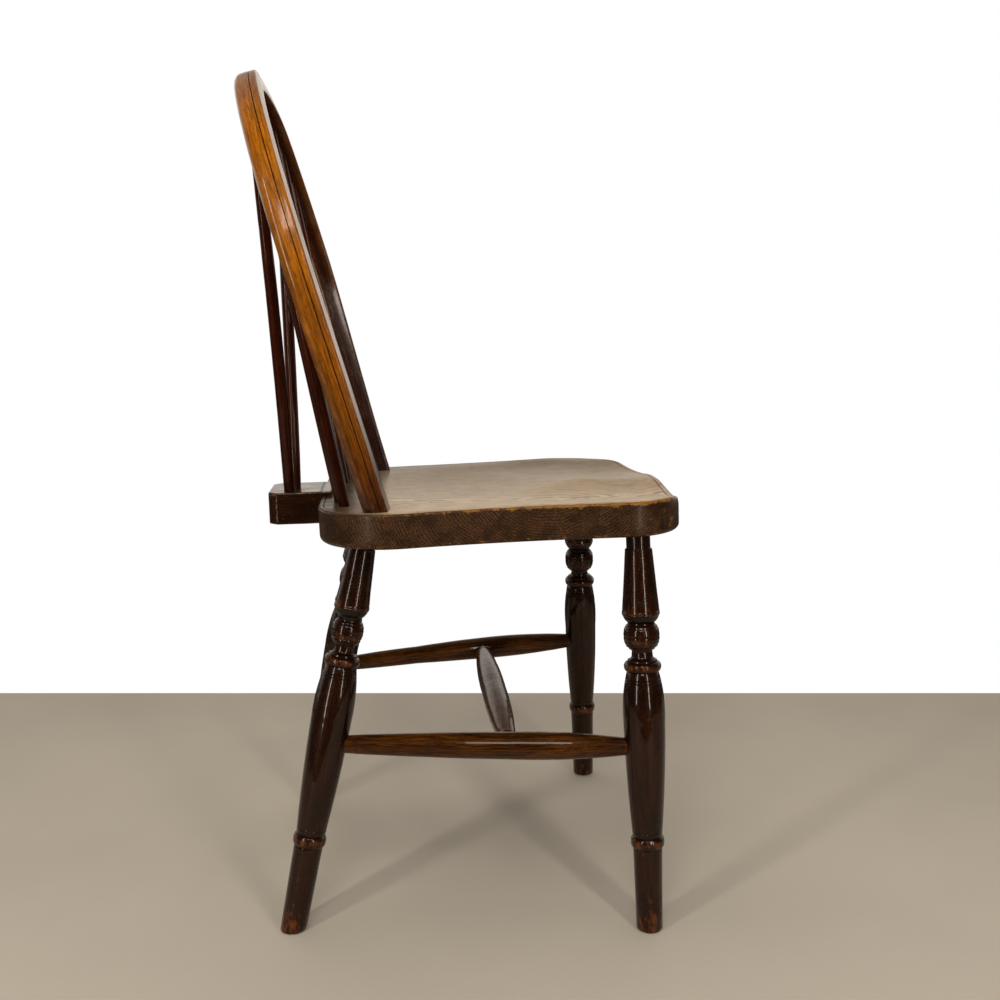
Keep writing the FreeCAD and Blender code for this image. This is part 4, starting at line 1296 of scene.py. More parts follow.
@dataclass
class Sticks:
    """Six back sticks and the two brace sticks, shaved and slightly faceted."""

    shop: Workshop
    row_inset: float = 0.021
    row_curve: float = 0.007
    inner_place: float = 0.063
    base_pitch: float = 0.0265
    first_angle: float = 26.0
    step_angle: float = 13.0
    brace_spread: float = 0.032
    brace_inset: float = 0.024
    base_width: float = 12.0
    belly_width: float = 12.8
    tip_width: float = 9.6
    belly_share: float = 0.3
    braces: dict[Side, BraceTouch] = field(default_factory=lambda: {
        Side.RIGHT: BraceTouch(shift=0.0018, angle=32.5, bend=0.0026),
        Side.LEFT: BraceTouch(shift=-0.0028, angle=35.4, bend=0.0018),
    })

    def stick(self, name: str, base: Vector, target: Vector, seed: int, bend: float = 0.0) -> None:
        """Build one stick between the seat or the bobtail and the bow.

        Args:
            name: The stick's name.
            base: Where it stands on the seat or the bobtail.
            target: Where it meets the bow's middle line.
            seed: Seed of its wear.
            bend: How far its middle bends forward, in metres.
        """
        way = target - base
        length = way.length / MM
        bm = TurnedForm(
            (
                Station(-8, self.base_width, 0, 0, 1.0), Station(3, self.base_width, 0, 0, 0.6),
                Station(length * self.belly_share, self.belly_width, 0.15, 0.3),
                Station(length - 26, self.tip_width + 0.3, 0.6, 0.15),
                Station(length - 10, self.tip_width, 0, 0.1, 0.7), Station(length - 4, self.tip_width - 0.2),
            ),
            segments=28, step=7.0, seed=seed, unevenness=0.3, dents=9, heart=(17.0, 6.0),
        ).make()
        stand(bm, base, way, spin=seed * 0.9)
        for vert in bm.verts:
            vert.co.y -= bend * arched((vert.co.z - base.z) / way.z)
        self.shop.finish("shaved_" + name, bm, Slot.STICK, [name])

    def build(self) -> None:
        """Build the eight sticks."""
        seed = 21
        for side in Side:
            for step, place in enumerate(("inner", "middle", "outer")):
                across = side.value * (self.inner_place + step * self.base_pitch)
                along = PLAN.seat_rear - self.row_inset - self.row_curve * (step / 2) ** 2
                angle = side.value * (self.first_angle + step * self.step_angle)
                base = Vector((across, along, PLAN.seat_height))
                self.stick("back_stick_%s_%s" % (side.word, place), base, PLAN.on_bow(angle), seed)
                seed += 1
            touch = self.braces[side]
            rear = PLAN.seat_rear + PLAN.bobtail_reach - self.brace_inset + touch.shift
            base = Vector((side.value * self.brace_spread / 2, rear, PLAN.seat_height))
            target = PLAN.on_bow(side.value * touch.angle)
            self.stick("brace_stick_" + side.word, base, target, seed, touch.bend)
            seed += 1


@dataclass(frozen=True)
class SectionPoint:
    """Point of the bow's section, in millimetres outwards and forwards."""

    out: float
    fore: float
    worn: float = 0.0
    dirt: float = 0.0
    stain: float = 0.0


class Rod:
    """Section that is drawn along a path and keeps count of the way."""

    def __init__(self, bm: Mesh, ring: Sequence[Vert]) -> None:
        """Start a rod.

        Args:
            bm: The mesh that holds it.
            ring: Vertices of its section, going round.
        """
        self.bm = bm
        self.length = bm.verts.layers.float[LENGTH]
        self.start = list(ring)
        self.loop = ring_edges(bm, ring)
        self.far = 0.0

    def advance(self, made: Sequence, distance: float) -> None:
        """Take what an operator made as the rod's new end.

        Args:
            made: Its vertices and edges.
            distance: How much further along the rod they are.
        """
        self.far += distance
        verts = set(of_kind(made, Vert))
        for vert in verts:
            vert[self.length] = self.far
        self.loop = [edge for edge in of_kind(made, Edge) if verts.issuperset(edge.verts)]

    def draw(self, way: Vector, run: float, steps: int) -> None:
        """Draw the rod out straight.

        Args:
            way: Unit vector of its way.
            run: How far it goes.
            steps: How many steps that takes.
        """
        for _ in range(steps):
            made = bmesh.ops.extrude_edge_only(self.bm, edges=self.loop)["geom"]
            bmesh.ops.translate(self.bm, vec=way * (run / steps), verts=of_kind(made, Vert))
            self.advance(made, run / steps)

    def sweep(self, centre: Vector, radius: float, angle: float, steps: int) -> None:
        """Sweep the rod round a centre, about Z.

        Args:
            centre: The centre.
            radius: Distance of the rod's middle from it.
            angle: How far it turns, in radians.
            steps: How many steps that takes.
        """
        turn = angle / steps
        for _ in range(steps):
            made = bmesh.ops.spin(
                self.bm, geom=self.loop + self.end(), cent=centre, axis=(0, 0, 1), angle=turn, steps=1
            )["geom_last"]
            self.advance(made, turn * radius)

    def end(self) -> list[Vert]:
        """Return the vertices at the rod's end."""
        return list(dict.fromkeys(vert for edge in self.loop for vert in edge.verts))

    def close(self) -> None:
        """Close both ends."""
        for rim in (self.start, self.end()):
            bmesh.ops.contextual_create(self.bm, geom=rim)


@dataclass
class Bow:
    """Bent ash bow with crisp front arrises, a rounded back and a scribed line on its outer edge."""

    shop: Workshop
    front_round: float = 3.0
    back_round: float = 9.0
    front_slope: float = 3.0
    line_setback: float = 8.5
    line_width: float = 1.1
    line_depth: float = 0.9
    straight_steps: int = 60
    round_steps: int = 150
    embed: float = 0.009
    dirty_foot: float = 0.024
    stained_foot: float = 0.27
    half_face: float = PLAN.bow_face / MM / 2
    half_edge: float = PLAN.bow_edge / MM / 2

    def fore_at(self, out: float) -> float:
        """Return how far forward the sloping front face is at a place across it."""
        return self.half_face - self.front_slope * out / (2 * self.half_edge)

    @staticmethod
    def corner(
        out: float, fore: float, radius: float, start: float, steps: int, stain: float
    ) -> list[SectionPoint]:
        """Draw a rounded corner of the section.

        Args:
            out: Centre of the rounding, outwards.
            fore: Centre of the rounding, forwards.
            radius: Its radius.
            start: Angle of its first point, in degrees.
            steps: How many steps it has.
            stain: How dark it is.

        Returns:
            Its points.
        """
        made = []
        for i in range(steps + 1):
            angle = math.radians(start + 90 * i / steps)
            worn = 0.7 if 1 < i < steps - 1 else 0.35
            across, ahead = out + radius * math.cos(angle), fore + radius * math.sin(angle)
            made.append(SectionPoint(across, ahead, worn, 0.0, stain))
        return made

    def scribed_line(self) -> list[SectionPoint]:
        """Draw the outer edge with the scribed line in it.

        Returns:
            Its points, from the back forwards.
        """
        edge, line, half = self.half_edge, self.half_face - self.line_setback, self.line_width / 2
        wall, floor = edge - 0.7 * self.line_depth, edge - self.line_depth
        return [
            SectionPoint(edge + 0.1, -2.6, 0.3), SectionPoint(edge + 0.1, 0.4, 0.3),
            SectionPoint(edge + 0.02, line - half, 0.15, 0.5),
            SectionPoint(wall, line - 0.5 * half, 0, 1.0, 0.6), SectionPoint(floor, line, 0, 1.0, 0.8),
            SectionPoint(wall, line + 0.5 * half, 0, 1.0, 0.6),
            SectionPoint(edge, line + half, 0.15, 0.5), SectionPoint(edge, line + 2.6, 0.25),
        ]

    def section(self) -> list[SectionPoint]:
        """Draw the whole section, whose inner side and inner corners take the dark tone as painted shade.

        Returns:
            Its points, going round from the back of the outer edge.
        """
        edge, front, back = self.half_edge, self.front_round, self.back_round
        behind = back - self.half_face
        return [
            *self.scribed_line(),
            *self.corner(edge - front, self.fore_at(edge - front) - front, front, 0, 6, 0.0),
            SectionPoint(2.5, self.fore_at(2.5) + 0.05, 0.1, 0.0, 0.1),
            SectionPoint(-2.5, self.fore_at(-2.5) + 0.05, 0.1, 0.0, 0.1),
            # Painted shade: the inner side, from its front corner round to its back corner, takes most of
            # the dark tone.
            *self.corner(front - edge, self.fore_at(front - edge) - front, front, 90, 6, 0.7),
            SectionPoint(-edge, 5.0, stain=1.0), SectionPoint(-edge, 0.0, stain=1.0),
            *self.corner(back - edge, behind, back, 180, 9, 0.8),
            *self.corner(edge - back, behind, back, 270, 9, 0.1),
        ]

    def build(self) -> None:
        """Build the bow from one section, drawn up one side, spun over the top and down again."""
        bm = bmesh.new()
        layers = Layers(bm)
        bm.verts.layers.float.new(LENGTH)
        radius, flare = PLAN.bow_radius, PLAN.flare
        out = Vector((math.cos(flare), -math.sin(flare), 0))
        up = Vector((math.sin(flare), math.cos(flare), 0))
        centre = Vector((0, PLAN.arc_rise, 0))
        spring = centre + out * radius
        run = spring.y / up.y + self.embed
        foot = spring - up * run
        ring = []
        for point in self.section():
            vert = bm.verts.new(foot + out * (point.out * MM) + Vector((0, 0, point.fore * MM)))
            vert[layers.worn], vert[layers.dirt], vert[layers.stain] = point.worn, point.dirt, point.stain
            vert[layers.grain] = (point.out * MM, point.fore * MM, 0)
            ring.append(vert)
        rod = Rod(bm, ring)
        rod.draw(up, run, self.straight_steps)
        rod.sweep(centre, radius, math.pi + 2 * flare, self.round_steps)
        rod.draw(Vector((up.x, -up.y, 0)), run, self.straight_steps)
        rod.close()
        bm.normal_update()
        self.shave(rod, layers)
        bmesh.ops.transform(bm, matrix=PLAN.bow_frame(), verts=bm.verts)
        for vert in bm.verts:
            vert.co = PLAN.sprung(vert.co)
        bm.verts.layers.float.remove(rod.length)
        self.shop.finish("bent_bow", bm, Slot.BOW, ["bow"])

    def shave(self, rod: Rod, layers: Layers) -> None:
        """Set the place in the wood along the bend, darken the feet and let the shave's marks show.

        Args:
            rod: The bow, still flat.
            layers: Its attributes.
        """
        middle = rod.far / 2
        for vert in rod.bm.verts:
            out, fore, _ = vert[layers.grain]
            along = vert[rod.length] - middle
            rise = middle - abs(along)
            vert[layers.grain] = Vector((out + 0.03, fore + 0.041, along + 4.2))
            vert[layers.dirt] = max(vert[layers.dirt], 0.5 * max(0.0, 1 - rise / self.dirty_foot))
            low = held(1 - (rise - 0.01) / self.stained_foot)
            vert[layers.stain] = min(1.0, vert[layers.stain] + 0.95 * low ** 1.5)
            wave = uneven(out * 40, fore * 40, along * 16)
            grit = uneven(out * 130, fore * 130, along * 50 + 9)
            vert.co += vert.normal * ((wave * 0.16 + grit * 0.05) * MM)


@dataclass(frozen=True)
class Hollow:
    """Round-bottomed hollow in the top of the seat, in metres."""

    across: float
    setback: float
    width: float
    length: float
    depth: float
    roundness: float = 0.060

    def drop(self, x: float, y: float) -> float:
        """Find how far the hollow lies below the seat's rim.

        Args:
            x: Place across the chair.
            y: Place along it.

        Returns:
            The depth there, which is negative outside the hollow.
        """
        sink = 1 - self.depth / self.roundness
        spread = math.sqrt(1 - sink ** 2)
        share = ((x - self.across) / (self.width / 2 / spread)) ** 2
        share += ((y - PLAN.front - self.setback) / (self.length / 2 / spread)) ** 2
        if share >= 1:
            return -self.roundness
        return self.depth - self.roundness * (1 - math.sqrt(1 - share))


@dataclass(frozen=True)
class RimStation:
    """One ring of the seat's rim, in millimetres; an incised ring is pressed in later."""

    inset: float
    height: float
    worn: float
    dirt: float = 0.0
    incised: bool = False


@dataclass
class Seat:
    """Saddled elm board with worn arrises and an incised line behind its rim.

    Rounds, the line's inset, front_ease and rim_reach are in millimetres, and the rest in metres.
    The grain runs across the board, and its heart lies above it. On the top the figure is drawn
    apart from that of the sides, and runs from front to back.
    """

    shop: Workshop
    around: int = 420
    inner_rings: int = 58
    top_round: float = 3.0
    under_round: float = 6.0
    line_inset: float = 6.0
    front_ease: float = 1.8
    rim_reach: float = 11.0
    softness: float = 0.0009
    end_trim: float = 0.0016
    front_droop: float = 0.0040
    heart_setback: float = 0.15
    heart_rise: float = 0.07
    top_heart: float = -0.1
    grain_start: float = 0.7
    top_skin: float = 0.0006
    loose_depth: float = 0.02
    hollows: Sequence[Hollow] = (
        Hollow(0.0, 0.214, 0.300, 0.230, 0.007),
        Hollow(0.092, 0.092, 0.166, 0.300, 0.007),
        Hollow(-0.092, 0.092, 0.166, 0.300, 0.007),
    )

    def drop(self, x: float, y: float) -> float:
        """Return the depth of the saddling at a place, with soft edges between the hollows."""
        total = sum(math.exp(hollow.drop(x, y) / self.softness) for hollow in self.hollows)
        return self.softness * math.log(1 + total)

    def outline(self) -> list[Vector]:
        """Take the seat's outline from its solid, just above the lower rounding.

        Returns:
            Points at equal steps, going round.
        """
        bm = bmesh.new()
        bm.from_mesh(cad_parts["seat"].data)
        bmesh.ops.remove_doubles(bm, verts=bm.verts, dist=0.001 * MM)
        level = (0, 0, PLAN.seat_under + (self.under_round + 2) * MM)
        cut = bmesh.ops.bisect_plane(
            bm, geom=whole(bm), plane_co=level, plane_no=(0, 0, 1), clear_inner=True, clear_outer=True
        )["geom_cut"]
        edges = set(of_kind(cut, Edge))
        rim = (vert for edge in edges for vert in edge.verts)
        here = min(rim, key=lambda vert: (vert.co.y, vert.co.x))
        chain = []
        while True:
            chain.append(here.co.copy())
            step = next((edge for edge in here.link_edges if edge in edges), None)
            if step is None:
                break
            edges.remove(step)
            here = step.other_vert(here)
        bm.free()
        return self.evenly(chain)

    def evenly(self, closed: Sequence[Vector]) -> list[Vector]:
        """Divide a closed chain into equal steps.

        Args:
            closed: Its points, of which the last is the first again.

        Returns:
            The points at the steps.
        """
        reach = [0.0]
        for before, after in zip(closed, closed[1:]):
            reach.append(reach[-1] + (after - before).length)
        made, index = [], 0
        for i in range(self.around):
            target = reach[-1] * i / self.around
            while reach[index + 1] < target:
                index += 1
            share = (target - reach[index]) / max(reach[index + 1] - reach[index], 1e-9)
            made.append(closed[index].lerp(closed[index + 1], share))
        return made

    def rim_stations(self) -> list[RimStation]:
        """List the rings of the rim.

        Returns:
            The underside, the lower rounding, the side, the upper rounding and the incised line.
        """
        thick = PLAN.seat_thick / MM
        low, high, line = self.under_round, self.top_round, self.line_inset
        made = [RimStation(60.0, 0.0, 0.1, 0.2), RimStation(24.0, 0.0, 0.1, 0.2)]
        for i in range(8):
            angle = math.radians(90 * i / 7)
            worn = 0.95 if 1 < i < 6 else 0.5
            made.append(RimStation(low - low * math.sin(angle), low - low * math.cos(angle), worn))
        for i in range(1, 9):
            made.append(RimStation(0.0, low + (thick - low - high) * i / 9, 0.16))
        for i in range(7):
            angle = math.radians(90 * i / 6)
            worn = 1.0 if 0 < i < 5 else 0.7
            rise = thick - high + high * math.sin(angle)
            made.append(RimStation(high - high * math.cos(angle), rise, worn))
        return made + [
            RimStation(line - 1.4, thick, 0.35), RimStation(line - 0.6, thick, 0.2, 0.3),
            RimStation(line - 0.3, thick, 0.0, 0.9, True), RimStation(line, thick, 0.0, 1.0, True),
            RimStation(line + 0.3, thick, 0.0, 0.9, True), RimStation(line + 0.6, thick, 0.1, 0.3),
            RimStation(line + 2.0, thick, 0.1),
        ]

    def lay(
        self, ring: Sequence[Vert], base: Sequence[Vector], inward: Sequence[Vector], at: RimStation,
        layers: Layers,
    ) -> None:
        """Lay one ring of the rim in its place, with the front arris eased.

        Args:
            ring: Its vertices.
            base: The outline at the underside.
            inward: The way inwards at each point of the outline.
            at: Where the ring goes.
            layers: The board's attributes.
        """
        high = held((at.height - PLAN.seat_thick / MM + self.rim_reach) / self.rim_reach) ** 2
        for vert, foot, way in zip(ring, base, inward):
            fore = held((PLAN.front + 0.06 - foot.y) / 0.045)
            inset = at.inset + self.front_ease * high * fore
            vert.co = foot + way * (inset * MM) + Vector((0, 0, at.height * MM))
            vert[layers.worn], vert[layers.dirt] = at.worn, at.dirt

    @staticmethod
    def grow(bm: Mesh, ring: Sequence[Vert], edges: Sequence[Edge]) -> tuple[list[Vert], list[Edge]]:
        """Extrude a ring in place.

        Args:
            bm: The board.
            ring: The ring's vertices in order.
            edges: Its edges in order.

        Returns:
            The new ring's vertices and edges, in the same order.
        """
        fresh = set(of_kind(bmesh.ops.extrude_edge_only(bm, edges=edges)["geom"], Vert))
        after = []
        for vert in ring:
            ends = (edge.other_vert(vert) for edge in vert.link_edges)
            after.append(next(end for end in ends if end in fresh))
        return after, ring_edges(bm, after)

    def build(self) -> None:
        """Build the board ring by ring from its outline, then saddle it."""
        bm = bmesh.new()
        layers = Layers(bm)
        outline = self.outline()
        middle = Vector((0, PLAN.seat_middle, 0))
        inward = []
        for before, point, after in zip(outline[-1:] + outline, outline, outline[1:] + outline[:1]):
            along = after - before
            side = Vector((along.y, -along.x, 0)).normalized()
            inward.append(side if side.dot(middle - point) > 0 else -side)
        base = [Vector((point.x, point.y, PLAN.seat_under)) for point in outline]
        first, *stations = self.rim_stations()
        ring = [bm.verts.new(point) for point in base]
        self.lay(ring, base, inward, first, layers)
        bm.faces.new(ring)
        edges = ring_edges(bm, ring)
        incised = []
        for station in stations:
            ring, edges = self.grow(bm, ring, edges)
            self.lay(ring, base, inward, station, layers)
            if station.incised:
                incised.append((ring, station.dirt))
        rim = [vert.co.copy() for vert in ring]
        for step in range(1, self.inner_rings + 1):
            ring, edges = self.grow(bm, ring, edges)
            share = 1 - step / (self.inner_rings + 1)
            for vert, start in zip(ring, rim):
                vert.co = middle + (start - middle) * share
                vert.co.z = PLAN.seat_height
                vert[layers.worn], vert[layers.dirt] = 0.1, 0.0
        bm.faces.new(ring)
        for vert in bm.verts:
            self.dress(vert, layers)
            self.saddle(vert)
        self.incise(incised)
        for vert in bm.verts:
            vert.co = PLAN.tilted(vert.co)
            vert.co.y += self.end_trim * (PLAN.seat_rear - vert.co.y) / PLAN.seat_depth
        self.shop.finish("saddled_seat", bm, Slot.SEAT, ["seat"])

    @staticmethod
    def incise(rings: Sequence[tuple[list[Vert], float]]) -> None:
        """Press the incised line in, fading it out along the two sides.

        Args:
            rings: Each ring of the line with the share of its depth.
        """
        for ring, depth in rings:
            for vert in ring:
                shown = 1 - held((abs(vert.co.x) / 0.19 - 0.86) / 0.1)
                corner = vert.co.y < PLAN.front + 0.07 or vert.co.y > PLAN.seat_rear - 0.075
                vert.co.z -= 0.7 * MM * depth * (1.0 if corner else shown)

    def dress(self, vert: Vert, layers: Layers) -> None:
        """Set the place in the wood, the wear and the pale top tone of a vertex of the level board; that
        tone is partly worn wood and partly a painted sheen.

        Args:
            vert: The vertex.
            layers: The board's attributes.
        """
        x, y, z = vert.co
        deep = z - PLAN.seat_height - self.heart_rise
        fore = 1 - (y - PLAN.front) / PLAN.seat_depth
        top = held((z - PLAN.seat_height + self.top_skin) * 2000)
        if top > 0:
            place = Vector((x - self.top_heart, deep - self.drop(x, y), y + self.grain_start))
        else:
            place = Vector((y - PLAN.front - self.heart_setback, deep, x + self.grain_start))
        vert[layers.grain] = place
        above = z - PLAN.seat_under
        vert[layers.worn] *= 0.35 + 0.75 * held(fore * 1.5) if above > 0.02 else 0.62
        if above > 0.008:
            rubbed = 0.62 * held(1 - (y - PLAN.front) / 0.085)
            vert[layers.worn] = max(vert[layers.worn], rubbed)
        # Painted sheen: the top's pale tone is strongest on the near half, towards -X, and weakest on the
        # far half; it also fades out near the rear edge.
        painted_sheen = held(0.7 - 2.0 * x, 0.35)
        vert[layers.stain] = top * painted_sheen * min(1.0, fore / 0.19) ** 2

    def saddle(self, vert: Vert) -> None:
        """Sink a vertex of the top into the hollows, and make the board slightly uneven.

        Args:
            vert: The vertex.
        """
        x, y, z = vert.co
        high = held((z - PLAN.seat_height + self.loose_depth) / self.loose_depth)
        wave = uneven(x * 16, y * 28, z * 16)
        grit = uneven(x * 60, y * 110, z * 110 + 5)
        if high > 0:
            droop = eased((PLAN.front + 0.115 - y) / 0.08) * eased((x + 0.19) / 0.10)
            rise = (wave * 0.22 + grit * 0.03) * MM - self.drop(x, y) - self.front_droop * droop
            vert.co.z += rise * high
        elif z > PLAN.seat_under + MM:
            side = Vector((x, y - PLAN.seat_middle, 0)).normalized()
            vert.co += side * ((wave * 0.2 + grit * 0.08) * MM)


@dataclass
class Bobtail:
    """Block behind the seat with clipped corners and worn arrises.

    This chair's block is a little thinner than its solid, and sits a little higher.
    """

    shop: Workshop
    clip: float = 0.009
    arris: float = 0.0016
    overlap: float = 0.012
    lift: float = 0.0020
    thinner: float = 0.0014
    slices: tuple[int, int, int] = (26, 24, 12)

    def build(self) -> None:
        """Build the block, clip its rear corners and soften its edges."""
        half = PLAN.bobtail_width / 2
        rear = PLAN.seat_rear + PLAN.bobtail_reach
        under = PLAN.seat_under + self.lift + self.thinner
        low = Vector((-half, PLAN.seat_rear - self.overlap, under))
        high = Vector((half, rear, under + PLAN.seat_thick - self.thinner))
        bm = block(high - low, (low + high) / 2)
        upright = [
            edge for edge in bm.edges
            if all(vert.co.y > rear - 1e-4 for vert in edge.verts)
            and abs(edge.verts[0].co.z - edge.verts[1].co.z) > 0.01
        ]
        bevel(bm, upright, self.clip, 1)
        bevel(bm, bm.edges[:], self.arris, 4)
        for axis, count in enumerate(self.slices):
            normal = Vector((axis == 0, axis == 1, axis == 2))
            for i in range(1, count):
                point = normal * (low[axis] + (high[axis] - low[axis]) * i / count)
                bmesh.ops.bisect_plane(bm, geom=whole(bm), plane_co=point, plane_no=normal)
        self.wear(bm)
        self.shop.finish("bobtail_block", bm, Slot.BOBTAIL, ["bobtail"])

    @staticmethod
    def wear(bm: Mesh) -> None:
        """Set the attributes and make the faces slightly uneven.

        Args:
            bm: The block, in place.
        """
        layers = Layers(bm)
        bm.normal_update()
        for vert in bm.verts:
            x, y, z = vert.co
            vert[layers.grain] = Vector((x + 0.021, z - PLAN.seat_height + 0.055, y + 1.9))
            across, along, upward = (abs(part) for part in vert.normal)
            slanted = sorted((across, along, upward))[1]
            clipped = min(across, along) > 0.6 and upward < 0.2 and abs(z - PLAN.seat_height) > 0.004
            vert[layers.worn] = 0.05 if clipped or slanted < 0.3 else 0.85
            vert[layers.dirt] = max(0.0, 1 - abs(y - PLAN.seat_rear) / 0.004)
            vert.co += vert.normal * (uneven(x * 40, y * 40, z * 40) * 0.2 * MM)


@dataclass
class Splat:
    """Pierced wheel splat, taken from its solid and softened along every edge."""

    shop: Workshop
    soften: float = 0.0007
    sunk: float = 0.006

    def build(self) -> None:
        """Copy the solid, merge it, and put a bevel on its edges."""
        bm = bmesh.new()
        bm.from_mesh(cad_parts["wheel_splat"].data)
        bmesh.ops.remove_doubles(bm, verts=bm.verts, dist=0.002 * MM)
        bmesh.ops.dissolve_limit(
            bm, angle_limit=math.radians(0.4), verts=bm.verts[:], edges=bm.edges[:]
        )
        layers = Layers(bm)
        low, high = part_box("wheel_splat")
        lean = Matrix.Rotation(-math.atan2(high.y - low.y, high.z - low.z), 4, "X")
        for vert in bm.verts:
            flat = lean @ vert.co
            if abs(vert.co.z - PLAN.seat_height) < 0.0012:
                vert.co.z -= self.sunk
            vert[layers.grain] = Vector((flat.y + 0.4, flat.x + 0.02, flat.z))
            vert[layers.worn] = 0.25
        piece = self.shop.finish("pierced_splat", bm, Slot.SPLAT, ["wheel_splat"], outward=False)
        softened = piece.modifiers.new("softened", "BEVEL")
        softened.width = self.soften
        softened.segments = 3
        softened.limit_method = "ANGLE"
        softened.angle_limit = math.radians(40)


@dataclass
class TenonEnds:
    """Ends of the bow's tenons under the seat, each split by its wedge."""

    shop: Workshop
    width: float = 0.019
    proud: float = 0.0005
    wedge: Place = (0.0032, 0.0185, 0.008)
    wedge_proud: float = 0.0003

    def build(self) -> None:
        """Build both ends and both wedges."""
        lean = math.radians(PLAN.bow_lean)
        for side in Side:
            way = Vector((side.value * math.sin(PLAN.flare), 0, 0))
            way += Vector((0, math.sin(lean), math.cos(lean))) * math.cos(PLAN.flare)
            foot = Vector((side.value * PLAN.bow_foot_spread / 2, PLAN.bow_foot_y, PLAN.seat_height))
            out = PLAN.tilted(foot - way * (PLAN.seat_thick / way.z))
            self.disc("bow_tenon_end_" + side.word, out, 33 + side.value)
            self.slip("fox_wedge_" + side.word, "bow_wedge_" + side.word, out)

    def disc(self, name: str, place: Vector, seed: int) -> None:
        """Build the round end of a tenon, just proud of the seat's underside.

        Args:
            name: The piece's name.
            place: Where the tenon comes through.
            seed: Seed of its wear.
        """
        width = self.width / MM
        bm = TurnedForm(
            (Station(0, width - 1.2, 0, 0.5), Station(0.6, width, 0.1, 0.3), Station(8, width)),
            segments=48, step=2.0, seed=seed, unevenness=0.05,
        ).make()
        bmesh.ops.translate(bm, vec=place - Vector((0, 0, self.proud)), verts=bm.verts)
        self.shop.finish(name, bm, Slot.SPLAT, [])

    def slip(self, name: str, node: str, place: Vector) -> None:
        """Build the wedge that splits a tenon's end.

        Args:
            name: The piece's name.
            node: The solid that it replaces.
            place: Where the tenon comes through.
        """
        rise = self.wedge[2] / 2 - self.proud - self.wedge_proud
        bm = block(self.wedge, place + Vector((0, 0, rise)))
        bevel(bm, bm.edges[:], 0.3 * MM, 2)
        layers = Layers(bm)
        for vert in bm.verts:
            vert[layers.grain] = vert.co + Vector((0.3, 0.02, 0))
            vert[layers.worn] = 0.7
        self.shop.finish(name, bm, Slot.SPLAT, [node])


@dataclass(frozen=True)
class Lamp:
    """Soft rectangular lamp, in metres and watts; a mirrored one shows in the polish."""

    name: str
    place: Place
    aim: Place
    width: float
    height: float
    power: float
    mirrored: bool = True

    def build(self) -> None:
        """Hang the lamp and aim it."""
        data = bpy.data.lights.new(self.name, "AREA")
        data.shape = "RECTANGLE"
        data.size, data.size_y, data.energy = self.width, self.height, self.power
        lamp = add_object(self.name, data)
        lamp.location = self.place
        lamp.visible_camera = False
        lamp.visible_glossy = self.mirrored
        way = Vector(self.aim) - Vector(self.place)
        lamp.rotation_euler = way.to_track_quat("-Z", "Y").to_euler()


